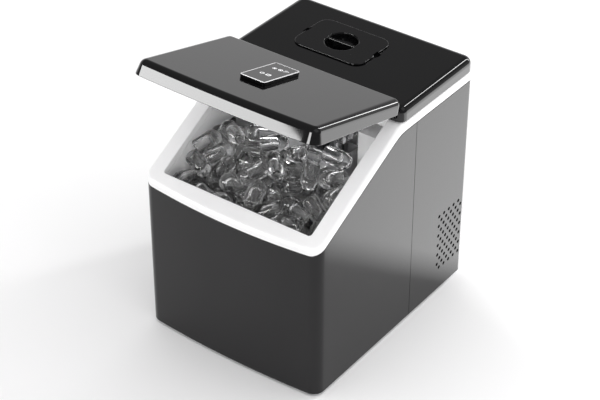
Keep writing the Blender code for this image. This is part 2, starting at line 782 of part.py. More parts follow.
def make_ejector_comb():
    y, z = COMB_AXIS
    carrier = pivot("comb_swing", (0.0, y, z))
    bm = bmesh.new()
    rod(bm, "X", (0.0, 0.0), (-71.0, 70.0), 3.0)
    comb = solid("ejector_comb", GREY_PLASTIC, bm, carrier)
    bm = bmesh.new()
    for i in range(4):
        x = FINGER_PITCH * (i - 1.5)
        block(bm, (x - 3.0, x + 3.0), (-1.5, 1.5), (-17.0, 0.0))
    join(comb, bm)


def make_tray_drive():
    """Gear motor on the right and a bearing plate on the left carry tray and comb."""
    for name, mat, x in (("tray_drive", BLACK_MATT, (68.2, 90.0)), ("tray_bearing", GREY_PLASTIC, (-73.0, -67.5))):
        bm = bmesh.new()
        block(bm, x, (-3.0, 26.5), (214.0, 259.0))
        housing = solid(name, mat, bm)
        bm = bmesh.new()
        reach = (x[0] - 5.0, 72.0) if x[0] > 0 else (x[0] - 5.0, x[1] + 5.0)
        for y, z in (TRAY_AXIS, COMB_AXIS):
            rod(bm, "X", (y, z), reach, 3.4)
        cut(housing, bm)


def make_pump():
    """The impeller chamber is open below, and a channel under the body lets water in."""
    centre = (-68.0, -2.0)
    bm = bmesh.new()
    block(bm, (-86.0, -50.0), (-18.0, 14.0), (TANK_FLOOR + GAP, 50.0))
    pump = solid("pump_body", BLACK_MATT, bm)
    bm = bmesh.new()
    rod(bm, "Z", (-80.0, 8.0), (49.0, 55.0), 3.5, sides=12)
    join(pump, bm)
    bm = bmesh.new()
    rod(bm, "Z", centre, (TANK_FLOOR - 5.0, 41.0), 12.0)
    cut(pump, bm)
    bm = bmesh.new()
    block(bm, (-90.0, -46.0), (-5.0, 1.0), (TANK_FLOOR - 5.0, 30.0))
    cut(pump, bm)
    carrier = pivot("impeller_spin", (*centre, 34.0))
    bm = bmesh.new()
    rod(bm, "Z", (0.0, 0.0), (-5.0, 5.0), 4.0, sides=12)
    impeller = solid("pump_impeller", WHITE_PLASTIC, bm, carrier)
    bm = bmesh.new()
    block(bm, (-10.0, 10.0), (-0.9, 0.9), (-4.0, 4.0))
    join(impeller, bm)
    bm = bmesh.new()
    block(bm, (-0.9, 0.9), (-10.0, 10.0), (-4.0, 4.0))
    join(impeller, bm)


# ---------------------------------------------------------------- refrigeration

def make_compressor():
    x, y = COMPRESSOR
    dome = [(0.0, 137.0), (24.0, 136.0), (38.0, 130.0), (45.0, 120.0), (46.0, 112.0),
            (46.0, 36.0), (44.0, 26.0), (36.0, 17.0), (24.0, 14.3), (0.0, 14.3)]
    turned("compressor", BLACK_STEEL, dome, (x, y, 0.0))
    bm = bmesh.new()
    prism(bm, rounded_rectangle((x - 46.0, x + 46.0), (y - 46.0, y + 46.0), 12.0, 3), (12.0, 14.0))
    solid("compressor_plate", GALVANISED, bm)
    for i, (dx, dy) in enumerate(((-36.0, -36.0), (36.0, -36.0), (0.0, 38.0))):
        bm = bmesh.new()
        rod(bm, "Z", (x + dx, y + dy), (7.6, 11.7), 7.0)
        solid("grommet_" + str(i + 1), RUBBER, bm, smooth=True)


def make_condenser():
    """Upright fins on a common web, and the serpentine tube beside them."""
    points_out = []
    points_back = []
    for i in range(14):
        y = 56.0 + 6.0 * i
        points_out.extend(((106.4, y), (100.0, y), (100.0, y + 1.2), (106.4, y + 1.2)))
        points_back.extend(((107.6, y), (114.0, y), (114.0, y + 1.2), (107.6, y + 1.2)))
    bm = bmesh.new()
    prism(bm, points_out + points_back[::-1], (20.0, 122.0))
    solid("condenser_fins", ALUMINIUM, bm)
    route = []
    for i in range(6):
        y = 58.0 + 15.0 * i
        ends = (28.0, 116.0) if i % 2 else (116.0, 28.0)
        route.extend(((97.0, y, ends[0]), (97.0, y, ends[1])))
    route[0] = (97.0, 58.0, 124.0)
    tube("condenser_coil", COPPER, route, TUBE_R, bend=5.0)


def make_fan():
    y, z = FAN_AXIS
    bm = bmesh.new()
    block(bm, (70.0, 92.0), (54.0, 140.0), (22.0, 120.0))
    shroud = solid("fan_shroud", BLACK_MATT, bm)
    bm = bmesh.new()
    rod(bm, "X", FAN_AXIS, (60.0, 100.0), 41.0, sides=32)
    cut(shroud, bm)
    bm = bmesh.new()
    block(bm, (70.0, 73.0), (y - 42.0, y + 42.0), (z - 4.0, z + 4.0))
    join(shroud, bm)
    bm = bmesh.new()
    block(bm, (70.0, 73.0), (y - 4.0, y + 4.0), (z - 42.0, z + 42.0))
    join(shroud, bm)
    bm = bmesh.new()
    rod(bm, "X", FAN_AXIS, (73.3, 80.0), 13.0)
    motor = solid("fan_motor", BRIGHT_STEEL, bm, smooth=True)
    bm = bmesh.new()
    rod(bm, "X", FAN_AXIS, (79.0, 86.0), 1.5, sides=12)
    join(motor, bm)
    make_fan_rotor()


def make_fan_rotor():
    blades = 5
    pitch_angle = math.radians(45.0)
    carrier = pivot("fan_spin", (86.0, *FAN_AXIS))
    bm = bmesh.new()
    rod(bm, "X", (0.0, 0.0), (-4.5, 4.5), 13.0)
    rotor = solid("fan_rotor", GREY_PLASTIC, bm, carrier)
    bm = bmesh.new()
    pitch = Matrix.Rotation(pitch_angle, 4, "Y")
    out = Matrix.Translation((0.0, 24.5 * MM, 0.0))
    size = Matrix.Diagonal((1.8 * MM, 26.0 * MM, 13.0 * MM, 1.0))
    for i in range(blades):
        spin = Matrix.Rotation(math.tau * i / blades, 4, "X")
        bmesh.ops.create_cube(bm, size=1.0, matrix=spin @ out @ pitch @ size)
    join(rotor, bm)
    bm = bmesh.new()
    rod(bm, "X", (0.0, 0.0), (-10.0, 2.0), 1.9, sides=12)
    cut(rotor, bm)


def make_refrigerant_parts():
    profile = [(0.0, 35.0), (3.0, 35.0), (9.0, 27.0), (9.0, -27.0), (3.0, -35.0), (0.0, -35.0)]
    turned("filter_drier", COPPER, profile, (10.0, 125.0, 95.0), steps=12)
    bm = bmesh.new()
    block(bm, (33.0, 57.0), (60.0, 84.0), (148.0, 166.0))
    valve = solid("hot_gas_valve", BRASS, bm)
    bm = bmesh.new()
    rod(bm, "Z", (45.0, 72.0), (165.0, 190.0), 8.0)
    join(valve, bm)
    tube("discharge_tube", COPPER,
         [(-11.4, 95.0, 100.0), (0.0, 95.0, 100.0), (0.0, 95.0, 138.0), (80.0, 58.0, 138.0),
          (97.0, 58.0, 138.0), (97.0, 58.0, 124.4)], TUBE_R, bend=5.0)
    tube("liquid_tube", COPPER,
         [(97.0, 133.0, 116.4), (97.0, 133.0, 128.0), (62.0, 128.0, 132.0), (10.0, 125.0, 140.0),
          (10.0, 125.0, 130.4)], LIQUID_TUBE_R, bend=4.0)
    tube("capillary_tube", COPPER,
         [(10.0, 125.0, 59.6), (10.0, 125.0, 48.0), (32.0, 112.0, 48.0), (32.0, 112.0, 200.0),
          (60.0, 52.0, 262.0)], CAPILLARY_R, bend=4.0)
    tube("evaporator_inlet_tube", COPPER,
         [(60.4, -10.0, 253.0), (64.5, -10.0, 253.0), (64.5, -10.0, 265.0), (64.5, 50.0, 265.0),
          (64.5, 60.0, 240.0), (45.0, 72.0, 210.0), (45.0, 72.0, 190.4)], TUBE_R, bend=3.0)
    tube("suction_tube", COPPER,
         [(-60.4, -10.0, 253.0), (-64.0, -10.0, 253.0), (-64.0, -10.0, 265.0), (-64.0, 46.0, 265.0),
          (-64.0, 46.0, 170.0), (-70.0, 90.0, 155.0), (-70.0, 90.0, 137.4)], TUBE_R, bend=3.0)


# ---------------------------------------------------------------- electrics, water and drain

def make_electrics():
    bm = bmesh.new()
    block(bm, (28.0, 112.0), (142.0, 145.8), (145.0, 235.0))
    carrier = solid("board_carrier", BLACK_MATT, bm)
    bm = bmesh.new()
    for x in (33.0, 107.0):
        for z in (150.0, 230.0):
            rod(bm, "Y", (x, z), (137.9, 143.0), 2.5, sides=8)
    join(carrier, bm)
    bm = bmesh.new()
    block(bm, (30.0, 110.0), (136.0, 137.6), (147.0, 233.0))
    board = solid("control_board", BOARD_GREEN, bm)
    bm = bmesh.new()
    block(bm, (36.0, 52.0), (122.0, 136.5), (155.0, 175.0))
    block(bm, (58.0, 74.0), (122.0, 136.5), (155.0, 175.0))
    block(bm, (40.0, 90.0), (126.0, 136.5), (212.0, 222.0))
    rod(bm, "Y", (92.0, 165.0), (112.0, 136.5), 8.0, sides=12)
    join(board, bm)
    bm = bmesh.new()
    block(bm, (18.0, 62.0), (62.0, 98.0), (7.6, 42.0))
    transformer = solid("transformer", GALVANISED, bm)
    bm = bmesh.new()
    block(bm, (26.0, 54.0), (54.0, 106.0), (11.0, 38.0))
    join(transformer, bm)
    bm = bmesh.new()
    rod(bm, "Y", GLAND, (141.5, 151.0), 6.6)
    gland = solid("cord_gland", BLACK_MATT, bm)
    bm = bmesh.new()
    rod(bm, "Y", GLAND, (DEPTH / 2 + GAP, 153.5), 9.5)
    join(gland, bm)
    bm = bmesh.new()
    rod(bm, "Y", GLAND, (130.0, 160.0), 3.5, sides=12)
    cut(gland, bm)


def make_drain():
    centre = (DRAIN_Y, DRAIN_Z)
    side = -WIDTH / 2
    bm = bmesh.new()
    rod(bm, "X", centre, (side - GAP, -TANK_X - LINER_WALL - GAP), 6.1)
    spout = solid("drain_spout", WHITE_PLASTIC, bm)
    bm = bmesh.new()
    rod(bm, "X", centre, (side - 1.8, side - GAP), 9.0)
    join(spout, bm)
    bm = bmesh.new()
    rod(bm, "X", centre, (side - 10.0, -80.0), 4.0)
    cut(spout, bm)
    carrier = pivot("drain_plug_pull", (side, *centre))
    bm = bmesh.new()
    rod(bm, "X", (0.0, 0.0), (-5.1, -2.1), 8.0)
    plug = solid("drain_plug", RUBBER, bm, carrier)
    bm = bmesh.new()
    rod(bm, "X", (0.0, 0.0), (-3.0, 10.0), 3.6)
    join(plug, bm)


def make_water_hose():
    tube("water_hose", SILICONE,
         [(-80.0, 8.0, 55.4), (-80.0, 8.0, 80.0), (-80.0, 20.0, 110.0), (-80.0, 20.0, 241.0),
          (-80.0, -7.0, 241.0), (-56.5, -7.0, 241.0), (-56.5, -7.0, 235.0)], 2.5, bend=5.0)


def main():
    make_base()
    make_front_sheet()
    make_rear_sheet()
    make_top_frame()
    make_rear_cover()
    make_fill_cap()
    make_fill_funnel()
    make_lid()
    make_hinge_brackets()
    make_liner()
    make_insulation()
    make_basket()
    make_ice_sensors()
    make_evaporator()
    make_water_tray()
    make_ejector_comb()
    make_tray_drive()
    make_pump()
    make_water_hose()
    make_compressor()
    make_condenser()
    make_fan()
    make_refrigerant_parts()
    make_electrics()
    make_drain()


main()
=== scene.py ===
"""Countertop ice maker: the finished surfaces, the ice, the finishes and the studio.

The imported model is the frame.  Pieces whose shape shows are worked out again here as smooth
surfaces and stand in for their CAD nodes; the other nodes keep their shape and get a finish.
Lengths in the code are in millimetres unless a name or comment says otherwise.
"""

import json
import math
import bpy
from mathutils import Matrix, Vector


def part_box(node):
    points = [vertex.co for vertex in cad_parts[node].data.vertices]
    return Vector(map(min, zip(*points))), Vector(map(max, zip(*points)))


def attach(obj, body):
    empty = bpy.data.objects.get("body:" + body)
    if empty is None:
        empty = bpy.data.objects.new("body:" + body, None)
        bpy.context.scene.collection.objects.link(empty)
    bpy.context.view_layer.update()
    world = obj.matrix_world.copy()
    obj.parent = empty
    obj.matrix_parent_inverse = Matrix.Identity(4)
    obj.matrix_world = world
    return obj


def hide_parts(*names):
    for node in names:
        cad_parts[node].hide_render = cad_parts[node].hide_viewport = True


bl_info = {
    "name": "Countertop Ice Maker",
    "version": (1, 0, 0),
    "blender": (4, 5, 0),
    "location": "View3D > Sidebar > Ice Maker",
    "description": "Builds a countertop ice maker with its finishes, its ice and a small studio",
    "category": "Object",
}

import bmesh
import bpy
import numpy as np
from bpy.props import FloatProperty, FloatVectorProperty, IntProperty, PointerProperty
from mathutils import Euler, Matrix, Quaternion, Vector

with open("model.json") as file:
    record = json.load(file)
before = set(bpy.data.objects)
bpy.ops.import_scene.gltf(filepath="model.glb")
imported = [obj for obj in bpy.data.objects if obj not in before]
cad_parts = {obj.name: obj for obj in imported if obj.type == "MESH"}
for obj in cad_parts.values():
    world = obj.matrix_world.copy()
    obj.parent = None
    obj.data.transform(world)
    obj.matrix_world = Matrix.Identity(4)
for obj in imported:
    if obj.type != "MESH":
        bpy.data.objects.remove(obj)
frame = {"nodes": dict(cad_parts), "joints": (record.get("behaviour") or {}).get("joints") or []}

MM = 0.001
SUPPORT = 0.4            # a spare row this far beside a rounding keeps flat faces flat
PLATE_AREA = 12.0        # level faces larger than this, in square millimetres, are shaded flat


def node_box(name):
    """Lowest and highest corner of a CAD node, in millimetres."""
    low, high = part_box(name)
    return np.array(low) / MM, np.array(high) / MM


SHEET_LOW, SHEET_HIGH = node_box("front_sheet")
REAR_LOW, REAR_HIGH = node_box("rear_sheet")
FRAME_HIGH = node_box("top_frame")[1]
COVER_LOW, COVER_HIGH = node_box("rear_cover")
CAP_LOW, CAP_HIGH = node_box("fill_cap")
BASKET_LOW, BASKET_HIGH = node_box("ice_basket")

HALF_WIDTH = SHEET_HIGH[0]
FRONT = SHEET_LOW[1]                 # the middle of the bowed front
BACK = REAR_HIGH[1]
GAP = 0.3                            # between neighbouring mouldings
SEAM = 0.2                           # from the seam to the edge of either sheet
SHEET = 1.2                          # thickness of the steel
CUT = 5.0                            # a cutter reaches this far past a face
KNEE_Y = 3.0                         # behind this line the top is level
SHEET_SLOPE = 0.515                  # fall of the steel's edge in front of it
FRAME_SLOPE = 0.538                  # fall of the white frame in front of it
MOUTH_X = 101.0                      # half width of the mouth
MOUTH_FRONT, MOUTH_BACK = -135.5, 5.0
BAR_BACK = 14.0                      # back of the bar behind the mouth
ARM_X, ARM_ROOM = 93.5, 4.0          # place and half width of the slots for the hinge arms
CAP_CORNER = 14.0
NOTCH_HALF = 5.0                     # half length of the fingertip notches
PRINT = 0.12                         # thickness of the printed marks
HINGE = next(j for j in frame["joints"] if j["name"] == "lid_hinge")["pos_m"]
AMBIENT = 1.10                       # strengths of the world and of the reflected cards
SIDE_GLOW = 3.2
LIP_GLOW = 15.5
CORNER_GLOW = 14.0


# ---------------------------------------------------------------- settings

class IceMakerSizes(bpy.types.PropertyGroup):
    """Sizes that change how the finished surfaces look."""

    front_bow: FloatProperty(
        name="Front bow", description="How far the middle of the front stands out",
        default=0.0058, min=0.001, max=0.02, unit="LENGTH")
    front_corner: FloatProperty(
        name="Front corner", description="Radius of the cabinet's two front corners",
        default=0.0137, min=0.007, max=0.02, unit="LENGTH")
    frame_round: FloatProperty(
        name="Frame edge", description="Rounding of the white frame's outer edge",
        default=0.0035, min=0.0005, max=0.006, unit="LENGTH")
    cover_round: FloatProperty(
        name="Cover edge", description="Rounding of the rear cover's upper edge",
        default=0.0085, min=0.001, max=0.01, unit="LENGTH")
    lid_round: FloatProperty(
        name="Lid edge", description="Rounding of the lid's upper edge",
        default=0.008, min=0.001, max=0.009, unit="LENGTH")
    lid_flare: FloatProperty(
        name="Lid flare", description="How far the lid's skirt leans out at the front",
        default=math.radians(16.0), min=0.0, max=math.radians(20.0), subtype="ANGLE")
    lid_angle: FloatProperty(
        name="Lid angle", description="How far the stored lid stands above level",
        default=math.radians(15.0), subtype="ANGLE")
    cube_radius: FloatProperty(
        name="Ice radius", description="Radius of one bullet of ice",
        default=0.0106, min=0.008, max=0.014, unit="LENGTH")
    cube_length: FloatProperty(
        name="Ice length", description="Length of one bullet of ice",
        default=0.034, min=0.024, max=0.04, unit="LENGTH")
    cube_count: IntProperty(
        name="Ice pieces", description="How many bullets of ice fill the basket",
        default=205, min=1, max=260)
    ice_depth: FloatProperty(
        name="Ice depth", description="How far the heap stays below the frame",
        default=0.006, min=0.005, max=0.04, unit="LENGTH")


class IceMakerColours(bpy.types.PropertyGroup):
    """Colours of the main finishes."""

    cabinet: FloatVectorProperty(
        name="Cabinet", description="Painted steel of the cabinet", subtype="COLOR",
        size=3, default=(0.0065, 0.006, 0.0068), min=0.0, max=1.0)
    frame: FloatVectorProperty(
        name="Frame", description="White plastic round the mouth", subtype="COLOR",
        size=3, default=(0.93, 0.93, 0.93), min=0.0, max=1.0)
    gloss: FloatVectorProperty(
        name="Lid and cover", description="Gloss black plastic", subtype="COLOR",
        size=3, default=(0.0045, 0.0045, 0.005), min=0.0, max=1.0)
    ice: FloatVectorProperty(
        name="Ice", description="Tint of the ice", subtype="COLOR",
        size=3, default=(0.985, 0.985, 0.985), min=0.0, max=1.0)
    floor: FloatVectorProperty(
        name="Floor", description="The pale studio floor", subtype="COLOR",
        size=3, default=(0.9, 0.9, 0.9), min=0.0, max=1.0)


# ---------------------------------------------------------------- surfaces

def arc(centre, radius, start, end, steps):
    """Points and outward normals: centre + radius (cos a, sin a), a in degrees."""
    angle = np.radians(np.linspace(start, end, steps + 1))
    normal = np.stack((np.cos(angle), np.sin(angle)), axis=1)
    return np.hstack((np.array(centre) + radius * normal, normal))


def straight(start, end, normal, steps):
    """Points between two ends, without the ends: start + t (end - start)."""
    t = np.linspace(0.0, 1.0, steps + 1)[1:-1, None]
    points = np.array(start) + t * (np.array(end) - np.array(start))
    return np.hstack((points, np.tile(normal, (len(points), 1))))


def side_run(x, heights_y):
    """Points at one x and the given y values, facing away from the middle plane."""
    y = np.asarray(heights_y, float)
    return np.stack((np.full_like(y, x), y, np.full_like(y, np.sign(x)), np.zeros_like(y)), axis=1)


def front_run(half_width, front, bow, corner, corner_steps=10, bow_steps=40):
    """Right corner, front and left corner: three arcs that meet in line, or a straight front.

    The large radius R fits the bow b over the half width w: R = w^2 / 2b + b / 2.
    """
    if bow <= 0.0:
        y = front + corner
        x = half_width - corner
        right = arc((x, y), corner, 0.0, -90.0, corner_steps)
        middle = straight((x, front), (-x, front), (0.0, -1.0), bow_steps)
        left = arc((-x, y), corner, -90.0, -180.0, corner_steps)
        return np.vstack((right, middle, left))
    big = half_width ** 2 / (2.0 * bow) + bow / 2.0
    big_y = front + big
    x = half_width - corner
    turn = math.degrees(math.asin(x / (big - corner)))
    y = big_y - (big - corner) * math.cos(math.radians(turn))
    right = arc((x, y), corner, 0.0, turn - 90.0, corner_steps)
    middle = arc((0.0, big_y), big, turn - 90.0, -turn - 90.0, bow_steps)[1:-1]
    left = arc((-x, y), corner, -turn - 90.0, -180.0, corner_steps)
    return np.vstack((right, middle, left))


def back_run(half_width, back, corner, corner_steps=10, back_steps=8):
    """Left rear corner, back and right rear corner."""
    x = half_width - corner
    y = back - corner
    left = arc((-x, y), corner, 180.0, 90.0, corner_steps)
    middle = straight((-x, back), (x, back), (0.0, 1.0), back_steps)
    right = arc((x, y), corner, 90.0, 0.0, corner_steps)
    return np.vstack((left, middle, right))


def outline(half_width, front, back, bow=0.0, corner=3.0, rear_corner=3.0, sides=(),
            centre=(0.0, 0.0)):
    """A closed plan from the right side round the front, left side and back."""
    ahead = np.asarray(sides, float)
    plan = np.vstack((
        side_run(half_width, ahead[::-1]), front_run(half_width, front, bow, corner),
        side_run(-half_width, ahead), back_run(half_width, back, rear_corner)))
    plan[:, :2] += centre
    return plan


def ring(plan, inset, height):
    """The plan moved inwards by inset, at a height that may depend on y: p - inset n, z = h(y).

    Inset and height are one number, or one number for each point of the plan.
    """
    flat = plan[:, :2] - np.reshape(inset, (-1, 1)) * plan[:, 2:]
    z = height(flat[:, 1]) if callable(height) else np.full(len(flat), 1.0) * height
    return np.column_stack((flat, z))


def quarter(steps):
    """Cosine and sine of evenly spaced angles over a quarter turn."""
    angle = np.linspace(0.0, math.pi / 2.0, steps + 1)
    return np.cos(angle), np.sin(angle)


def edge_out_to_top(plan, radius, height, steps=8, inset=0.0):
    """Rings over an outer upper edge: inset = r (1 - cos a), z = h - r (1 - sin a)."""
    cos, sin = quarter(steps)
    rows = [ring(plan, inset, lambda y: height(y) - radius - SUPPORT)]
    for c, s in zip(cos, sin):
        rows.append(ring(
            plan, inset + radius * (1.0 - c), lambda y, s=s: height(y) - radius * (1.0 - s)))
    rows.append(ring(plan, inset + radius + SUPPORT, height))
    return rows


def edge_top_to_in(plan, radius, height, steps=4):
    """Rings over the upper edge of an opening: the same quarter turn, run down and inwards."""
    cos, sin = quarter(steps)
    rows = [ring(plan, -radius - SUPPORT, height)]
    for c, s in zip(cos, sin):
        rows.append(ring(plan, -radius * (1.0 - s), lambda y, c=c: height(y) - radius * (1.0 - c)))
    rows.append(ring(plan, 0.0, lambda y: height(y) - radius - SUPPORT))
    return rows


def level(z):
    """A height that is the same everywhere, as a function of y."""
    return lambda y: np.full_like(np.asarray(y, float), z)


def slanted(top, slope, soft=6.0):
    """Height z = top - slope * s(d), where d is the way in front of the knee and
    s(d) = (d + sqrt(d^2 + soft^2)) / 2 bends softly from 0 to d."""
    def height(y):
        d = KNEE_Y - np.asarray(y, float)
        return top - slope * 0.5 * (d + np.sqrt(d * d + soft * soft))
    return height


def grid_faces(rows, columns, wrap_rows=False):
    """Quads of a grid of vertex numbers, closed round its columns, and round its rows if asked."""
    index = np.arange(rows * columns).reshape(rows, columns)
    right = np.roll(index, -1, axis=1)
    below, below_right = np.roll(index, -1, axis=0), np.roll(right, -1, axis=0)
    quads = np.stack((index, right, below_right, below), axis=-1)
    return (quads if wrap_rows else quads[:-1]).reshape(-1, 4)


class Shell:
    """Collects vertices and faces of one piece, in millimetres."""

    def __init__(self):
        self.points = []
        self.faces = []
        self.count = 0

    def add(self, points, faces):
        self.points.append(points)
        self.faces.extend((np.asarray(face) + self.count).tolist() for face in faces)
        self.count += len(points)

    def loft(self, rows, ring_shut=False, first_shut=True, last_shut=True):
        """Skin over closed rings with equal numbers of points.

        The last ring joins the first if ring_shut; otherwise flat faces shut the two ends.
        """
        rows = np.array(rows)
        number, width = rows.shape[:2]
        faces = list(grid_faces(number, width, wrap_rows=ring_shut))
        if first_shut and not ring_shut:
            faces.append(np.arange(width)[::-1])
        if last_shut and not ring_shut:
            faces.append(np.arange(width) + (number - 1) * width)
        self.add(rows.reshape(-1, 3), faces)

    def block(self, low, high, radius=0.0):
        """A box with rounded upright and upper edges."""
        low, high = np.array(low, float), np.array(high, float)
        half = (high - low) / 2.0
        middle = (high + low) / 2.0
        corner = max(radius, 0.01)
        plan = outline(half[0], -half[1], half[1], 0.0, corner, corner, centre=middle[:2])
        rows = [ring(plan, 0.0, low[2])]
        if radius > 0.0:
            rows += edge_out_to_top(plan, radius * 0.98, level(high[2]), steps=3)[:-1]
        else:
            rows.append(ring(plan, 0.0, high[2]))
        self.loft(rows)

    def piece(self, name, matrix=None, smooth_angle=30.0):
        """Make the object: doubles merged, faces turned outwards, placed in its mesh."""
        mesh = bpy.data.meshes.new(name)
        points = np.vstack(self.points) * MM
        mesh.from_pydata(points.tolist(), [], self.faces)
        bm = bmesh.new()
        bm.from_mesh(mesh)
        bmesh.ops.remove_doubles(bm, verts=bm.verts, dist=1e-6)
        bmesh.ops.dissolve_degenerate(bm, edges=bm.edges, dist=1e-7)
        bmesh.ops.recalc_face_normals(bm, faces=bm.faces)
        bm.to_mesh(mesh)
        bm.free()
        if matrix is not None:
            mesh.transform(matrix)
        mesh.shade_smooth()
        mesh.set_sharp_from_angle(angle=math.radians(smooth_angle))
        made = bpy.data.objects.new(name, mesh)
        bpy.context.scene.collection.objects.link(made)
        return made


def flatten_plates(mesh):
    """Shade the large level faces flat, so that a cut edge can't bend the shine on them."""
    normals = np.empty(len(mesh.polygons) * 3)
    mesh.polygons.foreach_get("normal", normals)
    areas = np.empty(len(mesh.polygons))
    mesh.polygons.foreach_get("area", areas)
    plate = (np.abs(normals[2::3]) > 0.99999) & (areas > PLATE_AREA * MM * MM)
    mesh.polygons.foreach_set("use_smooth", ~plate)


def carve(piece, cutters, smooth_angle=30.0):
    """Take closed cutter shells away from a piece and keep the result as its mesh."""
    tools = [shell.piece("cutter") for shell in cutters]
    for tool in tools:
        change = piece.modifiers.new("Cut", "BOOLEAN")
        change.operation = "DIFFERENCE"
        change.solver = "EXACT"
        change.object = tool
    ready = piece.evaluated_get(bpy.context.evaluated_depsgraph_get())
    cut_mesh = bpy.data.meshes.new_from_object(ready)
    piece.modifiers.clear()
    old = piece.data
    piece.data = cut_mesh
    cut_mesh.name = old.name
    bpy.data.meshes.remove(old)
    for tool in tools:
        bpy.data.objects.remove(tool)
    cut_mesh.shade_smooth()
    cut_mesh.set_sharp_from_angle(angle=math.radians(smooth_angle))
    flatten_plates(cut_mesh)
    even = piece.modifiers.new("Even shading", "WEIGHTED_NORMAL")
    even.keep_sharp = True
    return piece


def rods(centres, radius, span, axis, sides=24):
    """One shell of parallel round rods: centre + radius (cos a, sin a), from span low to high."""
    shell = Shell()
    angle = np.linspace(0.0, 2.0 * math.pi, sides, endpoint=False)
    circle = np.stack((np.cos(angle), np.sin(angle)), axis=1) * radius
    for centre in centres:
        rows = []
        for along in span:
            points = np.empty((sides, 3))
            across = [i for i in range(3) if i != axis]
            points[:, across[0]] = centre[0] + circle[:, 0]
            points[:, across[1]] = centre[1] + circle[:, 1]
            points[:, axis] = along
            rows.append(points)
        shell.loft(rows)
    return shell


def pair(x, half_x, y, z, middle=0.0):
    """Two upright blocks, half_x to each side of middle + x and of middle - x, as one shell."""
    shell = Shell()
    for side in (-1.0, 1.0):
        at = middle + side * x
        shell.block((at - half_x, y[0], z[0]), (at + half_x, y[1], z[1]))
    return shell


# ---------------------------------------------------------------- finishes

def new_material(name):
    made = bpy.data.materials.new(name)
    made.use_nodes = True
    return made, made.node_tree.nodes, made.node_tree.links


def put(nodes, kind, values=None, **settings):
    """Add a shader node, with its settings and the values of its sockets."""
    made = nodes.new("ShaderNode" + kind)
    for name, value in settings.items():
        setattr(made, name, value)
    for socket, value in (values or {}).items():
        made.inputs[socket].default_value = value
    return made


def noise_node(nodes, links, place, scale, detail=3.0, stretch=None):
    """Noise over Object coordinates; stretch scales the three axes apart."""
    texture = put(nodes, "TexNoise", {"Scale": scale, "Detail": detail})
    spot = place.outputs["Object"]
    if stretch is not None:
        mapping = put(nodes, "Mapping", {"Scale": stretch})
        links.new(spot, mapping.inputs["Vector"])
        spot = mapping.outputs["Vector"]
    links.new(spot, texture.inputs["Vector"])
    return texture


def ranged(nodes, links, source, low, high, start=0.3, end=0.7):
    """Map a texture's middle values to the range low to high."""
    remap = put(nodes, "MapRange", {
        "From Min": start, "From Max": end, "To Min": low, "To Max": high})
    links.new(source, remap.inputs["Value"])
    return remap.outputs["Result"]


def between(nodes, links, low, high, share):
    """The colour that lies the given share of the way from low to high."""
    low, high = np.clip(low, 0.0, 1.0), np.clip(high, 0.0, 1.0)
    mix = put(nodes, "Mix", {"A": (*low, 1.0), "B": (*high, 1.0)}, data_type="RGBA")
    links.new(share, mix.inputs["Factor"])
    return mix.outputs["Result"]


def mixed(nodes, links, share, first, second):
    """The shader that lies the given share of the way from first to second."""
    mix = nodes.new("ShaderNodeMixShader")
    for source, socket in zip((share, first, second), mix.inputs):
        links.new(source, socket)
    return mix.outputs["Shader"]


def skin(nodes, links, shader, texture, depth):
    """Give the shader a skin from a texture that is depth metres high."""
    bump = put(nodes, "Bump", {"Strength": 1.0, "Distance": depth})
    links.new(texture.outputs["Fac"], bump.inputs["Height"])
    links.new(bump.outputs["Normal"], shader.inputs["Normal"])


def way_along(nodes, links, place, direction, output="Object"):
    """How far a point lies along a direction: the dot product p . d."""
    product = put(nodes, "VectorMath", {1: direction}, operation="DOT_PRODUCT")
    links.new(place.outputs[output], product.inputs[0])
    return product.outputs["Value"]


def finish(name, colour, roughness, metallic=0.0, mottle=0.06, mottle_scale=18.0, grain=400.0,
           grain_depth=0.00002, wear=0.2, stretch=None, second=None, cells=0.0, ior=1.5):
    """A moulded, painted or metal surface.

    The colour drifts by +-mottle over mottle_scale noise (or between two colours), the
    roughness drifts by +-wear of itself, and grain_depth metres of fine noise make the skin.
    Cells above 0 makes flat crystal patches of that scale instead of the drift, as on zinc.
    """
    made, nodes, links = new_material(name)
    shader = nodes["Principled BSDF"]
    shader.inputs["Metallic"].default_value = metallic
    shader.inputs["IOR"].default_value = ior
    place = nodes.new("ShaderNodeTexCoord")
    if cells > 0.0:
        patches = put(nodes, "TexVoronoi", {"Scale": cells})
        links.new(place.outputs["Object"], patches.inputs["Vector"])
        split = nodes.new("ShaderNodeSeparateColor")
        links.new(patches.outputs["Color"], split.inputs["Color"])
        share = split.outputs["Red"]
    else:
        drift = noise_node(nodes, links, place, mottle_scale, 4.0, stretch)
        share = ranged(nodes, links, drift.outputs["Fac"], 0.0, 1.0)
    base = np.array(colour, float)
    other = base * (1.0 + mottle) if second is None else second
    tone = between(nodes, links, base * (1.0 - mottle), other, share)
    links.new(tone, shader.inputs["Base Color"])
    rub = noise_node(nodes, links, place, mottle_scale * 2.3, 5.0, stretch)
    worn = ranged(
        nodes, links, rub.outputs["Fac"], roughness * (1.0 - wear), roughness * (1.0 + wear))
    links.new(worn, shader.inputs["Roughness"])
    if grain_depth > 0.0:
        grit = noise_node(nodes, links, place, grain, 2.0, stretch)
        skin(nodes, links, shader, grit, grain_depth)
    return made


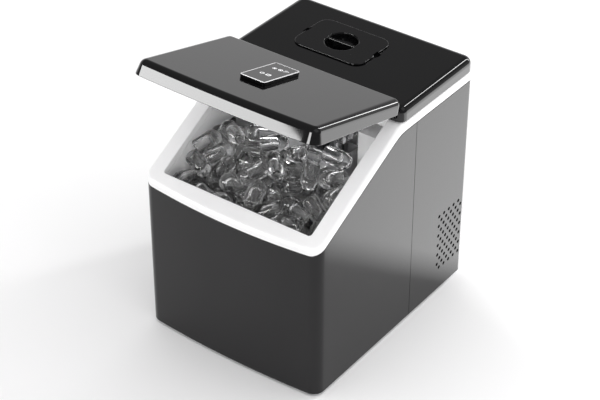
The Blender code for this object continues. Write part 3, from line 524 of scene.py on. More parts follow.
def clear_finish(name, colour, roughness, ior, transmission=1.0, grain=120.0, grain_depth=0.0001):
    """Ice or clear plastic: light goes through, and slow noise ripples its skin."""
    made, nodes, links = new_material(name)
    shader = nodes["Principled BSDF"]
    shader.inputs["Base Color"].default_value = (*colour, 1.0)
    shader.inputs["IOR"].default_value = ior
    shader.inputs["Transmission Weight"].default_value = transmission
    place = nodes.new("ShaderNodeTexCoord")
    frost = noise_node(nodes, links, place, grain * 0.6, 3.0)
    links.new(ranged(nodes, links, frost.outputs["Fac"], roughness * 0.3, roughness * 1.7),
              shader.inputs["Roughness"])
    skin(nodes, links, shader, noise_node(nodes, links, place, grain, 2.0), grain_depth)
    return made


def ice_with_painted_shade(name, colour):
    """Clear ice that turns matt and takes on painted shade, near black to mid grey by noise, the
    deeper it lies in the heap; lamps shine through it.

    Height over the slant of the mouth is linear in Object coordinates: h = z - slope y.
    """
    # painted shade: ice lying more than these depths below the top of the heap fades into a dark
    # matt grey
    clear_to, shaded_from = 0.028, 0.066
    made = clear_finish(name, colour, 0.015, 1.4, 1.0, 110.0, 0.0005)
    nodes, links = made.node_tree.nodes, made.node_tree.links
    place = nodes.new("ShaderNodeTexCoord")
    height = way_along(nodes, links, place, (0.0, -FRAME_SLOPE, 1.0))
    surface = (FRAME_HIGH[2] - FRAME_SLOPE * KNEE_Y) * MM
    deep_shade = ranged(nodes, links, height, 1.0, 0.0, surface - shaded_from, surface - clear_to)
    shade_noise = noise_node(nodes, links, place, 60.0)
    share = ranged(nodes, links, shade_noise.outputs["Fac"], 0.0, 1.0, 0.4, 0.65)
    # painted shade: a matt grey from near black to mid grey, picked by noise, stands in for the
    # shade deep in the heap
    shade = nodes.new("ShaderNodeBsdfDiffuse")
    links.new(between(nodes, links, (0.025, 0.025, 0.026), (0.42, 0.42, 0.42), share),
              shade.inputs["Color"])
    body = mixed(
        nodes, links, deep_shade, nodes["Principled BSDF"].outputs["BSDF"], shade.outputs["BSDF"])
    through = put(nodes, "BsdfTransparent", {"Color": (0.95, 0.95, 0.95, 1.0)})
    path = nodes.new("ShaderNodeLightPath")
    whole = mixed(nodes, links, path.outputs["Is Shadow Ray"], body, through.outputs["BSDF"])
    links.new(whole, nodes["Material Output"].inputs["Surface"])
    return made


def board_finish(name):
    """Circuit board: green lacquer with a maze of slightly lighter tracks."""
    made, nodes, links = new_material(name)
    shader = nodes["Principled BSDF"]
    shader.inputs["Roughness"].default_value = 0.35
    place = nodes.new("ShaderNodeTexCoord")
    bricks = put(nodes, "TexBrick", {
        "Scale": 90.0, "Mortar Size": 0.06, "Color1": (0.010, 0.095, 0.035, 1.0),
        "Color2": (0.014, 0.12, 0.045, 1.0), "Mortar": (0.05, 0.26, 0.10, 1.0)})
    links.new(place.outputs["Object"], bricks.inputs["Vector"])
    links.new(bricks.outputs["Color"], shader.inputs["Base Color"])
    return made


def marks_finish(name):
    """Softly lit print: nearly white, with a faint speckle."""
    made, nodes, links = new_material(name)
    shader = nodes["Principled BSDF"]
    shader.inputs["Roughness"].default_value = 0.4
    shader.inputs["Emission Color"].default_value = (1.0, 1.0, 1.0, 1.0)
    shader.inputs["Emission Strength"].default_value = 0.35
    spot = noise_node(nodes, links, nodes.new("ShaderNodeTexCoord"), 900.0)
    tone = between(nodes, links, (0.75, 0.76, 0.78), (0.9, 0.9, 0.92), spot.outputs["Fac"])
    links.new(tone, shader.inputs["Base Color"])
    return made


def make_finishes(colours):
    """One material for each slot of the record, keyed by the slot's name."""
    gloss = tuple(colours.gloss)
    return {
        "graphite_steel": finish(
            "graphite_steel", tuple(colours.cabinet), 0.16, mottle=0.12, mottle_scale=9.0,
            grain=900.0, grain_depth=0.000006, wear=0.12, ior=1.39),
        "white_plastic": finish(
            "white_plastic", tuple(colours.frame), 0.42, mottle=0.015, grain=700.0,
            grain_depth=0.00002),
        "black_gloss": finish(
            "black_gloss", gloss, 0.055, mottle=0.1, mottle_scale=12.0, grain=60.0,
            grain_depth=0.000002, wear=0.35),
        "black_matt": finish("black_matt", (0.022, 0.022, 0.023), 0.55, grain_depth=0.00004),
        "grey_plastic": finish("grey_plastic", (0.40, 0.40, 0.41), 0.45, grain_depth=0.00003),
        "clear_plastic": clear_finish(
            "clear_plastic", (0.50, 0.50, 0.51), 0.25, 1.46, 0.55, 300.0, 0.00003),
        "rubber": finish(
            "rubber", (0.016, 0.016, 0.016), 0.75, mottle=0.2, grain=500.0, grain_depth=0.00006),
        "silicone": finish("silicone", (0.62, 0.62, 0.60), 0.5, grain_depth=0.00002),
        "foam": finish(
            "foam", (0.78, 0.68, 0.44), 0.9, mottle=0.12, mottle_scale=60.0, grain=260.0,
            grain_depth=0.0006),
        "galvanised": finish(
            "galvanised", (0.50, 0.51, 0.53), 0.36, 1.0, mottle=0.1, grain_depth=0.00001,
            cells=90.0),
        "bright_steel": finish(
            "bright_steel", (0.66, 0.66, 0.67), 0.14, 1.0, mottle=0.04, grain=900.0,
            grain_depth=0.000004),
        "black_steel": finish("black_steel", (0.02, 0.02, 0.022), 0.32, 0.2, grain_depth=0.00004),
        "aluminium": finish(
            "aluminium", (0.42, 0.43, 0.44), 0.38, 1.0, mottle=0.08, stretch=(1.0, 1.0, 12.0),
            grain_depth=0.00001),
        "copper": finish(
            "copper", (0.72, 0.36, 0.21), 0.28, 1.0, second=(0.42, 0.20, 0.11), mottle_scale=45.0,
            grain_depth=0.00001),
        "brass": finish(
            "brass", (0.70, 0.55, 0.25), 0.3, 1.0, second=(0.52, 0.38, 0.16), mottle_scale=60.0,
            grain_depth=0.00001),
        "board_green": board_finish("board_green"),
        "tube_sleeve": finish(
            "tube_sleeve", (0.30, 0.30, 0.31), 0.85, mottle=0.1, mottle_scale=80.0, grain=300.0,
            grain_depth=0.0003),
    }


FINISHES = {}
SPECIAL_FINISHES = {
    "evaporator_inlet_tube": "tube_sleeve", "suction_tube": "tube_sleeve",
    "tray_drive": "white_plastic",
}


def dress(piece, slot, body, *nodes, own=None):
    """Give a new piece its finish, its body and the CAD nodes it stands for.

    The finish is its own one, if there is one, or else that of its slot in the record.
    """
    piece.data.materials.clear()
    piece.data.materials.append(own or FINISHES[slot])
    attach(piece, body)
    if nodes:
        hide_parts(*nodes)
    return piece


# ---------------------------------------------------------------- operators

class ICEMAKER_OT_finishes(bpy.types.Operator):
    """Make the finishes and put them on the CAD nodes that keep their shape"""

    bl_idname = "icemaker.finishes"
    bl_label = "Finishes"

    def execute(self, context):
        FINISHES.update(make_finishes(context.scene.ice_maker_colours))
        for node in frame["nodes"].values():
            for place in node.material_slots:
                slot = place.material.name.split(".")[0]
                place.material = FINISHES[SPECIAL_FINISHES.get(node.name, slot)]
        return {"FINISHED"}


def sheet_sections(plan, low, high):
    """Sections of a folded sheet along an open plan: out, up, over the edge, in and down."""
    lip = 0.35
    steps = (
        (0.0, 0.0, lip), (0.0, 0.0, lip + SUPPORT), (0.0, 1.0, -lip - SUPPORT), (0.0, 1.0, -lip),
        (lip * 0.3, 1.0, -lip * 0.3), (lip, 1.0, 0.0), (SHEET, 1.0, 0.0), (SHEET, 0.0, 0.0),
        (lip, 0.0, 0.0), (lip * 0.3, 0.0, lip * 0.3),
    )
    rows = []
    for inset, share, rise in steps:
        def height(y, share=share, rise=rise):
            return low * (1.0 - share) + high(y) * share + rise
        rows.append(ring(plan, inset, height))
    return np.array(rows).transpose(1, 0, 2)


def side_rows(start, behind, end):
    """Places along a side from start to end, closer together where the top bends at the knee."""
    bend = 12.0
    return np.concatenate((
        np.linspace(start, KNEE_Y - 16.0, 6), np.linspace(KNEE_Y - bend, KNEE_Y + bend, 13),
        np.linspace(KNEE_Y + behind, end, 3)))


class ICEMAKER_OT_front_sheet(bpy.types.Operator):
    """Steel front sheet: bowed front, round corners, sides that run back to the seam"""

    bl_idname = "icemaker.front_sheet"
    bl_label = "Front Sheet"

    def execute(self, context):
        sizes = context.scene.ice_maker_sizes
        drain_hole = 6.5
        sides = side_rows(FRONT + 24.0, 16.0, SHEET_HIGH[1] - SEAM)
        plan = np.vstack((
            side_run(HALF_WIDTH, sides[::-1]),
            front_run(HALF_WIDTH, FRONT, sizes.front_bow / MM, sizes.front_corner / MM),
            side_run(-HALF_WIDTH, sides)))
        shell = Shell()
        shell.loft(sheet_sections(plan, SHEET_LOW[2], slanted(SHEET_HIGH[2], SHEET_SLOPE)))
        piece = shell.piece("front_sheet_skin")
        spout = node_box("drain_spout")
        centre = (spout[0] + spout[1]) / 2.0
        carve(piece, [rods([centre[1:]], drain_hole, (-HALF_WIDTH - CUT, -HALF_WIDTH + CUT), 0)])
        dress(piece, "graphite_steel", "cabinet", "front_sheet")
        return {"FINISHED"}


class ICEMAKER_OT_rear_sheet(bpy.types.Operator):
    """Steel rear sheet: staggered round outlet holes on the right, inlet slots on the left"""

    bl_idname = "icemaker.rear_sheet"
    bl_label = "Rear Sheet"

    def execute(self, context):
        rear_corner, cord_hole = 6.0, 7.0
        hole_y, hole_z, hole_pitch_y, hole_pitch_z, hole_radius = 92.4, 112.0, 10.2, 6.94, 2.3
        slot_y, slot_z, slot_pitch, slot_height = (92.0, 138.0), 36.0, 10.0, 3.5
        sides = np.linspace(REAR_LOW[1] + SEAM, BACK - 10.0, 4)
        plan = np.vstack((
            side_run(-HALF_WIDTH, sides), back_run(HALF_WIDTH, BACK, rear_corner),
            side_run(HALF_WIDTH, sides[::-1])))
        shell = Shell()
        shell.loft(sheet_sections(plan, REAR_LOW[2], level(REAR_HIGH[2])))
        piece = shell.piece("rear_sheet_skin")
        rows, columns = np.mgrid[0:12, 0:5]
        holes = np.stack((
            hole_y + hole_pitch_y * (columns + 0.5 * (rows % 2)), hole_z - hole_pitch_z * rows),
            axis=-1)
        outlet = rods(
            holes.reshape(-1, 2), hole_radius, (HALF_WIDTH - CUT, HALF_WIDTH + CUT), 0, sides=16)
        inlet = Shell()
        for z in slot_z + slot_pitch * np.arange(8):
            inlet.block(
                (-HALF_WIDTH - CUT, slot_y[0], z), (-HALF_WIDTH + CUT, slot_y[1], z + slot_height))
        gland = node_box("cord_gland")
        centre = (gland[0] + gland[1]) / 2.0
        cord = rods([(centre[0], centre[2])], cord_hole, (BACK - CUT, BACK + CUT), 1)
        carve(piece, [outlet, inlet, cord])
        dress(piece, "graphite_steel", "cabinet", "rear_sheet")
        return {"FINISHED"}


class ICEMAKER_OT_top_frame(bpy.types.Operator):
    """White frame round the mouth, with soft edges, and the bar behind the mouth"""

    bl_idname = "icemaker.top_frame"
    bl_label = "Top Frame"

    def execute(self, context):
        sizes = context.scene.ice_maker_sizes
        rear_corner, opening_back, inner_round, foot = 6.0, 136.0, 1.2, 0.5
        sides = side_rows(MOUTH_FRONT + 8.0, 20.0, 130.0)
        outer = outline(HALF_WIDTH, FRONT, BACK, sizes.front_bow / MM, sizes.front_corner / MM,
                        rear_corner, sides)
        inner = outline(MOUTH_X, MOUTH_FRONT, opening_back, 0.0, 3.5, 3.0, sides)
        top = slanted(FRAME_HIGH[2], FRAME_SLOPE)
        low = slanted(SHEET_HIGH[2] + GAP, SHEET_SLOPE)
        rows = [ring(outer, foot, low), ring(outer, 0.0, lambda y: low(y) + foot)]
        rows += edge_out_to_top(outer, sizes.frame_round / MM, top)
        rows += edge_top_to_in(inner, inner_round, top)
        rows += [ring(inner, 0.0, lambda y: low(y) + foot), ring(inner, -foot, low)]
        shell = Shell()
        shell.loft(rows, ring_shut=True)
        shell.block(
            (-MOUTH_X - 0.5, MOUTH_BACK, SHEET_HIGH[2] + GAP),
            (MOUTH_X + 0.5, BAR_BACK, FRAME_HIGH[2] - 0.02), 0.8)
        piece = shell.piece("top_frame_moulding")
        dress(piece, "white_plastic", "cabinet", "top_frame")
        return {"FINISHED"}


class ICEMAKER_OT_rear_cover(bpy.types.Operator):
    """Gloss rear cover with the seat of the fill cap and two slots for the hinge arms"""

    bl_idname = "icemaker.rear_cover"
    bl_label = "Rear Cover"

    def execute(self, context):
        sizes = context.scene.ice_maker_sizes
        wall, foot, seat_depth, slot_back = 2.5, 0.4, 1.0, 19.2
        top, low = COVER_HIGH[2], COVER_LOW[2]
        radius = sizes.cover_round / MM
        corner = max(7.0, radius + 1.2 * SUPPORT)
        body = outline(COVER_HIGH[0], COVER_LOW[1], COVER_HIGH[1], 0.0, corner, 11.0)
        centre, half = cap_place()
        seat_corner = CAP_CORNER + GAP
        seat = outline(half[0] + GAP, -half[1] - GAP, half[1] + GAP, 0.0, seat_corner, seat_corner,
                       centre=centre)
        well = outline(36.0, -22.0, 22.0, 0.0, 4.0, 4.0, centre=centre)
        rows = [ring(body, foot, low), ring(body, 0.0, low + foot)]
        rows += [ring(body, 0.0, low + foot + SUPPORT)]
        rows += edge_out_to_top(body, radius, level(top))
        rows += edge_top_to_in(seat, 0.3, level(top), steps=3)
        rows += [ring(seat, 0.0, top - seat_depth), ring(well, -0.3, top - seat_depth)]
        rows += [ring(well, 0.0, top - seat_depth - 0.3), ring(well, 0.0, top - wall)]
        rows += [ring(body, wall + 5.0, top - wall), ring(body, wall, top - wall - 5.0)]
        rows += [ring(body, wall, low)]
        shell = Shell()
        shell.loft(rows, ring_shut=True)
        piece = shell.piece("rear_cover_moulding")
        slots = pair(ARM_X, ARM_ROOM, (COVER_LOW[1] - CUT, slot_back), (low - 1.0, top + CUT))
        notches = pair(half[0] + 0.75, 2.75, (centre[1] - NOTCH_HALF, centre[1] + NOTCH_HALF),
                       (top - 1.6, top + CUT), centre[0])
        carve(piece, [slots, notches])
        dress(piece, "black_gloss", "cabinet", "rear_cover")
        return {"FINISHED"}


def cap_place():
    """Centre and half sizes of the fill cap in plan."""
    return (CAP_LOW[:2] + CAP_HIGH[:2]) / 2.0, (CAP_HIGH[:2] - CAP_LOW[:2]) / 2.0


class ICEMAKER_OT_fill_cap(bpy.types.Operator):
    """Fill cap: round-edged plate with a round finger recess and a grip fin across it"""

    bl_idname = "icemaker.fill_cap"
    bl_label = "Fill Cap"

    def execute(self, context):
        plate, wall, edge_round, rim_round = 1.7, 2.0, 0.9, 0.8
        cup_radius, cup_curve, lip = 20.0, 9.0, 1.6
        fin_half, fin_reach, fin_round, fin_below = 1.5, 19.6, 1.2, 0.4
        top = CAP_HIGH[2]
        under = top - plate
        floor_z = CAP_LOW[2]
        centre, half = cap_place()
        plan = outline(half[0], -half[1], half[1], 0.0, CAP_CORNER, CAP_CORNER, centre=centre)
        away = plan[:, :2] - centre
        turn = np.arctan2(away[:, 1], away[:, 0])
        spoke = np.stack((np.cos(turn), np.sin(turn)), axis=1)
        cup = np.hstack((centre + cup_radius * spoke, spoke))
        rows = [ring(cup, -lip, under), ring(plan, 0.3, under), ring(plan, 0.0, under + 0.3)]
        rows += edge_out_to_top(plan, edge_round, level(top), steps=4)
        rows += edge_top_to_in(cup, rim_round, level(top), steps=5)
        bowl, drop = quarter(9)
        bottom = floor_z + wall
        cup_depth = top - 1.5 - floor_z - wall
        rows += [ring(cup, 0.6 + cup_curve * (1.0 - c), bottom + cup_depth * (1.0 - d))
                 for c, d in zip(bowl, drop)]
        shell = Shell()
        shell.loft(rows, first_shut=False)
        shell.loft([ring(cup, 8.0, floor_z), ring(cup, 0.5, floor_z),
                    ring(cup, -0.5, floor_z + 1.0), ring(cup, -lip, under)], last_shut=False)
        shell.block((centre[0] - fin_reach, centre[1] - fin_half, floor_z + 1.0),
                    (centre[0] + fin_reach, centre[1] + fin_half, top - fin_below), fin_round)
        piece = shell.piece("fill_cap_moulding", smooth_angle=35.0)
        notches = pair(half[0] - 0.25, 2.25, (centre[1] - NOTCH_HALF, centre[1] + NOTCH_HALF),
                       (top - 4.0, top + 4.0), centre[0])
        carve(piece, [notches], 35.0)
        dress(piece, "black_gloss", "filler_cap", "fill_cap")
        return {"FINISHED"}


def lid_matrix(sizes):
    """Where the lid's own axes are at rest: turned about the hinge pins, front edge up."""
    return Matrix.Translation(Vector(HINGE)) @ Matrix.Rotation(-sizes.lid_angle, 4, "X")


def lid_rows(plan, radius, flare, low, high, wall, steps=12):
    """Rings of the lid's skirt and rounded upper edge, from its hollow round to its top.

    The skirt leans out by the angle lean = flare * smooth(t), where t runs from the hinge to
    the front, and the rounding takes over where its own slope is the same: for an angle a from
    lean to a quarter turn, inset = r (1 - cos a) and z = high - r (1 - sin a).
    """
    lip, chamfer = 0.4, 0.12
    t = np.clip((-plan[:, 1] - 40.0) / 130.0, 0.0, 1.0)
    lean = flare * t * t * (3.0 - 2.0 * t)
    start = high - radius * (1.0 - np.sin(lean))

    def skirt(z):
        return radius * (1.0 - np.cos(lean)) - np.tan(lean) * (start - z)

    rows = [ring(plan, wall, high - wall), ring(plan, skirt(low) + wall, low + lip)]
    rows += [ring(plan, skirt(low) + wall - lip, low), ring(plan, skirt(low) + lip, low)]
    rows += [ring(plan, skirt(low + chamfer) + chamfer, low + chamfer)]
    rows += [ring(plan, skirt(low + rise), low + rise) for rise in (0.4, 0.8)]
    rows.append(ring(plan, skirt(start - SUPPORT), start - SUPPORT))
    for share in np.linspace(0.0, 1.0, steps + 1):
        angle = lean + (math.pi / 2.0 - lean) * share
        inset = radius * (1.0 - np.cos(angle))
        rows.append(ring(plan, inset, high - radius * (1.0 - np.sin(angle))))
    rows.append(ring(plan, radius + SUPPORT, high))
    return rows


class ICEMAKER_OT_lid(bpy.types.Operator):
    """Gloss lid shell: bowed front, rounded upper edge, skirt that flares towards the front"""

    bl_idname = "icemaker.lid"
    bl_label = "Lid"

    def execute(self, context):
        sizes = context.scene.ice_maker_sizes
        low, high, wall = 0.6, 18.0, 2.5
        half_width, front, back, bow, front_corner = 118.5, -180.5, -14.3, 4.0, 10.0
        radius = sizes.lid_round / MM
        rear_corner = max(8.0, radius + 1.2 * SUPPORT)
        plan = outline(half_width, front, back, bow, front_corner, rear_corner)
        shell = Shell()
        shell.loft(lid_rows(plan, radius, sizes.lid_flare, low, high, wall))
        piece = shell.piece("lid_shell_moulding")
        carve(piece, [pair(ARM_X, ARM_ROOM, (back - 8.0, back + 3.0), (low - 2.0, 5.0))])
        piece.data.transform(lid_matrix(sizes))
        dress(piece, "black_gloss", "lid", "lid_shell")
        return {"FINISHED"}


def mark_ring(shell, centre, radius, width, z, start=0.0, end=360.0, sides=28):
    """A flat printed ring or part ring, with a little height."""
    angle = np.radians(np.linspace(start, end, sides + 1))
    spoke = np.stack((np.cos(angle), np.sin(angle)), axis=1)
    rows = []
    for r, height in ((radius, z), (radius, z + PRINT), (radius - width, z + PRINT),
                      (radius - width, z)):
        rows.append(np.column_stack((np.array(centre) + r * spoke, np.full(len(spoke), height))))
    shell.loft(np.array(rows).transpose(1, 0, 2))


def mark_bar(shell, start, end, width, z):
    """A flat printed bar between two points."""
    start, end = np.array(start, float), np.array(end, float)
    along = (end - start) / np.linalg.norm(end - start)
    side = np.array((-along[1], along[0])) * width / 2.0
    corners = np.array((start - side, end - side, end + side, start + side))
    rows = [np.column_stack((corners, np.full(4, h))) for h in (z, z + PRINT)]
    shell.loft(rows)


def panel_marks(z):
    """Plain marks on the touch plate: switch, ice cube, snowflake, double ring and two strokes."""
    marks = Shell()
    power, cube, flake, target = (-9.0, -99.5), (-1.2, -99.0), (-10.5, -75.0), (-3.2, -74.0)
    mark_ring(marks, power, 2.6, 0.75, z, 120.0, 420.0)
    mark_bar(marks, (power[0], power[1] + 0.6), (power[0], power[1] + 3.4), 0.75, z)
    corners = 2.3 * np.array(((-1.0, -1.0), (1.0, -1.0), (1.0, 1.0), (-1.0, 1.0))) + cube
    for a, b in zip(corners, np.roll(corners, -1, axis=0)):
        mark_bar(marks, a, b, 0.75, z)
    mark_bar(marks, corners[0], corners[2], 0.6, z)
    for angle in np.radians((0.0, 60.0, 120.0)):
        reach = 2.9 * np.array((math.cos(angle), math.sin(angle)))
        mark_bar(marks, np.array(flake) - reach, np.array(flake) + reach, 0.7, z)
    mark_ring(marks, target, 2.7, 0.8, z)
    mark_ring(marks, target, 1.0, 0.9, z)
    mark_bar(marks, (1.2, -75.5), (6.0, -71.0), 0.9, z)
    mark_bar(marks, (1.0, -71.5), (3.4, -69.5), 0.8, z)
    return marks


class ICEMAKER_OT_control_panel(bpy.types.Operator):
    """Touch panel on the lid: polished bezel, dark glass plate and plain lit marks"""

    bl_idname = "icemaker.control_panel"
    bl_label = "Control Panel"

    def execute(self, context):
        place = lid_matrix(context.scene.ice_maker_sizes)
        base, high, rim = 18.3, 22.5, 1.1
        shelf = high - 0.7
        plan = outline(16.5, -33.0, 33.0, 0.0, 3.0, 3.0, centre=(-5.0, -90.3))
        sides = Shell()
        rows = [ring(plan, 0.2, base), ring(plan, 0.0, base + 0.2), ring(plan, 0.0, high - 0.8)]
        rows += [ring(plan, 0.3, shelf), ring(plan, rim + 1.5, shelf)]
        sides.loft(rows)
        dress(sides.piece("control_bezel_sides", place), "black_gloss", "lid")
        border = Shell()
        rows = [ring(plan, 0.3, shelf), ring(plan, 0.05, high - 0.6)]
        rows += edge_out_to_top(plan, 0.4, level(high), steps=4, inset=0.05)[1:-1]
        rows += [ring(plan, rim, high), ring(plan, rim, shelf)]
        border.loft(rows, ring_shut=True)
        brushed = finish("brushed_border", (0.86, 0.86, 0.87), 0.45, 0.25, mottle=0.02)
        bezel = border.piece("control_bezel_border", place)
        dress(bezel, "bright_steel", "lid", "control_bezel", own=brushed)
        glass = Shell()
        glass.loft([ring(plan, rim + inset, high - drop) for inset, drop in (
            (0.1, 1.5), (0.1, 0.5), (0.4, 0.25), (0.9, 0.25))])
        dress(glass.piece("touch_plate_glass", place), "black_gloss", "lid", "touch_plate")
        printed = panel_marks(high - 0.27).piece("panel_marks", place)
        dress(printed, "white_plastic", "lid", own=marks_finish("lit_marks"))
        return {"FINISHED"}


# ---------------------------------------------------------------- ice

def nearest_on_segments(a, b, c, d):
    """Shares s and t of the closest points a + s (b - a) and c + t (d - c), row by row."""
    u, v, w = b - a, d - c, a - c
    uu = np.einsum("ij,ij->i", u, u)
    uv = np.einsum("ij,ij->i", u, v)
    vv = np.einsum("ij,ij->i", v, v)
    uw = np.einsum("ij,ij->i", u, w)
    vw = np.einsum("ij,ij->i", v, w)
    det = np.maximum(uu * vv - uv * uv, 1e-6)
    s = np.clip((uv * vw - vv * uw) / det, 0.0, 1.0)
    t = np.clip((uv * s + vw) / vv, 0.0, 1.0)
    s = np.clip((uv * t - uw) / uu, 0.0, 1.0)
    return s, t


def settle(count, radius, core, depth):
    """Pack the bullets into the basket and against the slanted plane just under the frame.

    Each bullet is a line of length core with a radius.  Every step, overlaps with neighbours
    are shared out along the shortest way apart, and the ends are put back inside the walls,
    which stand a little further out above the basket's rim.
    """
    rng = np.random.default_rng(11)
    wall, steps, share, most = 2.0, 300, 0.36, 6.0
    wider_x, wider_y = 4.5, 3.0
    low = np.array((-95.0, BASKET_LOW[1] + wall, BASKET_LOW[2] + wall)) + radius
    high = np.array((95.0, BASKET_HIGH[1] - wall, 270.0)) - radius
    normal = np.array((0.0, -FRAME_SLOPE, 1.0)) / math.hypot(1.0, FRAME_SLOPE)
    surface = FRAME_HIGH[2] - FRAME_SLOPE * KNEE_Y
    limit = normal[2] * surface - depth - radius
    middle = low + (high - low) * rng.random((count * 6, 3))
    middle = middle[middle @ normal < limit][:count]
    away = rng.normal(size=(len(middle), 3)) * (1.0, 1.0, 0.6)
    away /= np.linalg.norm(away, axis=1, keepdims=True)
    ends = np.stack((middle - away * core / 2.0, middle + away * core / 2.0), axis=1)
    first, second = np.triu_indices(len(middle), 1)
    for _ in range(steps):
        centre = ends.mean(axis=1)
        near = np.linalg.norm(centre[first] - centre[second], axis=1) < core + 2.0 * radius
        i, j = first[near], second[near]
        s, t = nearest_on_segments(ends[i, 0], ends[i, 1], ends[j, 0], ends[j, 1])
        p = ends[i, 0] + s[:, None] * (ends[i, 1] - ends[i, 0])
        q = ends[j, 0] + t[:, None] * (ends[j, 1] - ends[j, 0])
        gap = p - q
        distance = np.maximum(np.linalg.norm(gap, axis=1), 1e-6)
        push = np.clip(2.0 * radius - distance, 0.0, most)
        move = gap / distance[:, None] * (push * share)[:, None]
        for part, weight_i, weight_j in ((0, 1.0 - s, 1.0 - t), (1, s, t)):
            np.add.at(ends[:, part], i, move * weight_i[:, None])
            np.add.at(ends[:, part], j, -move * weight_j[:, None])
        over = np.maximum(ends @ normal - limit, 0.0)
        ends -= over[..., None] * normal * 0.7
        above = ends[..., 2] > BASKET_HIGH[2] + wall
        ends[..., 0] = np.clip(ends[..., 0], low[0] - wider_x * above, high[0] + wider_x * above)
        ends[..., 1] = np.clip(ends[..., 1], low[1] - wider_y * above, high[1])
        ends[..., 2] = np.maximum(ends[..., 2], low[2])
        centre = ends.mean(axis=1, keepdims=True)
        half = ends - centre
        ends = centre + half * (core / 2.0 / np.linalg.norm(half, axis=2, keepdims=True))
    return ends


def bullet_profile(radius, length):
    """Half outline of one bullet, as (out, along): round tip, wall, flat lip, hollow core."""
    cos, sin = quarter(5)
    end = length / 2.0
    tip = np.column_stack((radius * sin, -end + radius * 0.92 * (1.0 - cos)))
    lip = radius * 0.3
    rim = np.column_stack((radius * 0.97 - lip * (1.0 - cos[:4]), end - lip * (1.0 - sin[:4])))
    hollow = radius * 0.52
    depth = length * 0.5
    core = np.column_stack((hollow * cos, end - 1.0 - depth - hollow * sin))
    mouth = np.array(((hollow * 1.25, end), (hollow * 1.08, end - 1.2)))
    return np.vstack((tip, rim, mouth, core))


class ICEMAKER_OT_ice(bpy.types.Operator):
    """Hollow bullets of clear ice, settled in the basket and heaped under the lid"""

    bl_idname = "icemaker.ice"
    bl_label = "Ice"

    def execute(self, context):
        sizes = context.scene.ice_maker_sizes
        radius = sizes.cube_radius / MM
        length = sizes.cube_length / MM
        ends = settle(sizes.cube_count, radius, length - 2.0 * radius, sizes.ice_depth / MM)
        rng = np.random.default_rng(5)
        profile = bullet_profile(radius, length)
        sides = 16
        angle = np.linspace(0.0, 2.0 * math.pi, sides, endpoint=False)
        template = np.stack((
            profile[:, :1] * np.cos(angle), profile[:, :1] * np.sin(angle),
            np.tile(profile[:, 1:], (1, sides))), axis=-1)
        number = len(ends)
        along = ends[:, 1] - ends[:, 0]
        along /= np.linalg.norm(along, axis=1, keepdims=True)
        spare = np.where(
            np.abs(along[:, :1]) < 0.7, np.array((1.0, 0.0, 0.0)), np.array((0.0, 1.0, 0.0)))
        across = np.cross(along, spare)
        across /= np.linalg.norm(across, axis=1, keepdims=True)
        axes = np.stack((across, np.cross(along, across), along), axis=1)
        scale = rng.uniform(0.93, 1.02, (number, 1, 1, 3))
        scale[..., 1] = scale[..., 0]
        placed = np.einsum("nrsk,nkj->nrsj", template[None] * scale, axes)
        placed += ends.mean(axis=1)[:, None, None]
        rows, columns = template.shape[:2]
        first = np.arange(number)[:, None, None] * rows * columns
        shell = Shell()
        shell.add(placed.reshape(-1, 3), (grid_faces(rows, columns)[None] + first).reshape(-1, 4))
        piece = shell.piece("ice_bullets", smooth_angle=60.0)
        # this finish paints shade on the ice that lies deeper in the heap
        clear = ice_with_painted_shade("ice", tuple(context.scene.ice_maker_colours.ice))
        dress(piece, "clear_plastic", "basket", own=clear)
        return {"FINISHED"}


# ---------------------------------------------------------------- studio

def panel_light(name, place, target, width, height, power):
    """A soft rectangular light that the camera doesn't see."""
    data = bpy.data.lights.new(name, "AREA")
    data.shape = "RECTANGLE"
    data.size = width
    data.size_y = height
    data.energy = power
    lamp = bpy.data.objects.new(name, data)
    bpy.context.scene.collection.objects.link(lamp)
    lamp.location = place
    lamp.rotation_euler = (Vector(target) - Vector(place)).to_track_quat("-Z", "Y").to_euler()
    lamp.visible_camera = False


def make_world(scene):
    """Pale behind the stage.  Soft light from everywhere for matt surfaces and for light that
    went through the ice; reflections see a dim dome with a bright low band at the back left."""
    dim, bright = 0.24, 0.9
    world = bpy.data.worlds.new("studio")
    scene.world = world
    world.use_nodes = True
    nodes, links = world.node_tree.nodes, world.node_tree.links
    way = nodes.new("ShaderNodeTexCoord")
    height = way_along(nodes, links, way, (0.0, 0.0, 1.0), "Generated")
    towards = way_along(nodes, links, way, (-0.5, 0.866, 0.0), "Generated")
    both = put(nodes, "Math", operation="MULTIPLY")
    links.new(ranged(nodes, links, height, 1.0, 0.0, 0.22, 0.42), both.inputs[0])
    links.new(ranged(nodes, links, towards, 0.0, 1.0, 0.15, 0.6), both.inputs[1])
    dome = nodes["Background"]
    links.new(ranged(nodes, links, both.outputs["Value"], dim, bright, 0.0, 1.0),
              dome.inputs["Strength"])
    soft = put(nodes, "Background", {"Strength": AMBIENT})
    pale = nodes.new("ShaderNodeBackground")
    for shader in (dome, soft, pale):
        shader.inputs["Color"].default_value = (1.0, 0.995, 1.0, 1.0)
    path = nodes.new("ShaderNodeLightPath")
    matt = put(nodes, "Math", operation="MAXIMUM")
    links.new(path.outputs["Is Diffuse Ray"], matt.inputs[0])
    links.new(path.outputs["Is Transmission Ray"], matt.inputs[1])
    lit = mixed(nodes, links, matt.outputs["Value"], dome.outputs["Background"],
                soft.outputs["Background"])
    seen = mixed(nodes, links, path.outputs["Is Camera Ray"], lit, pale.outputs["Background"])
    links.new(seen, nodes["World Output"].inputs["Surface"])


def make_floor(scene):
    """A wide pale floor with a barely visible grain."""
    mesh = bpy.data.meshes.new("studio_floor")
    reach = 12.0
    mesh.from_pydata(
        [(-reach, -reach, 0.0), (reach, -reach, 0.0), (reach, reach, 0.0), (-reach, reach, 0.0)],
        [], [(0, 1, 2, 3)])
    floor = bpy.data.objects.new("studio_floor", mesh)
    scene.collection.objects.link(floor)
    colour = tuple(scene.ice_maker_colours.floor)
    floor.data.materials.append(
        finish("studio_floor", colour, 0.8, mottle=0.004, mottle_scale=2.0, grain_depth=0.0))


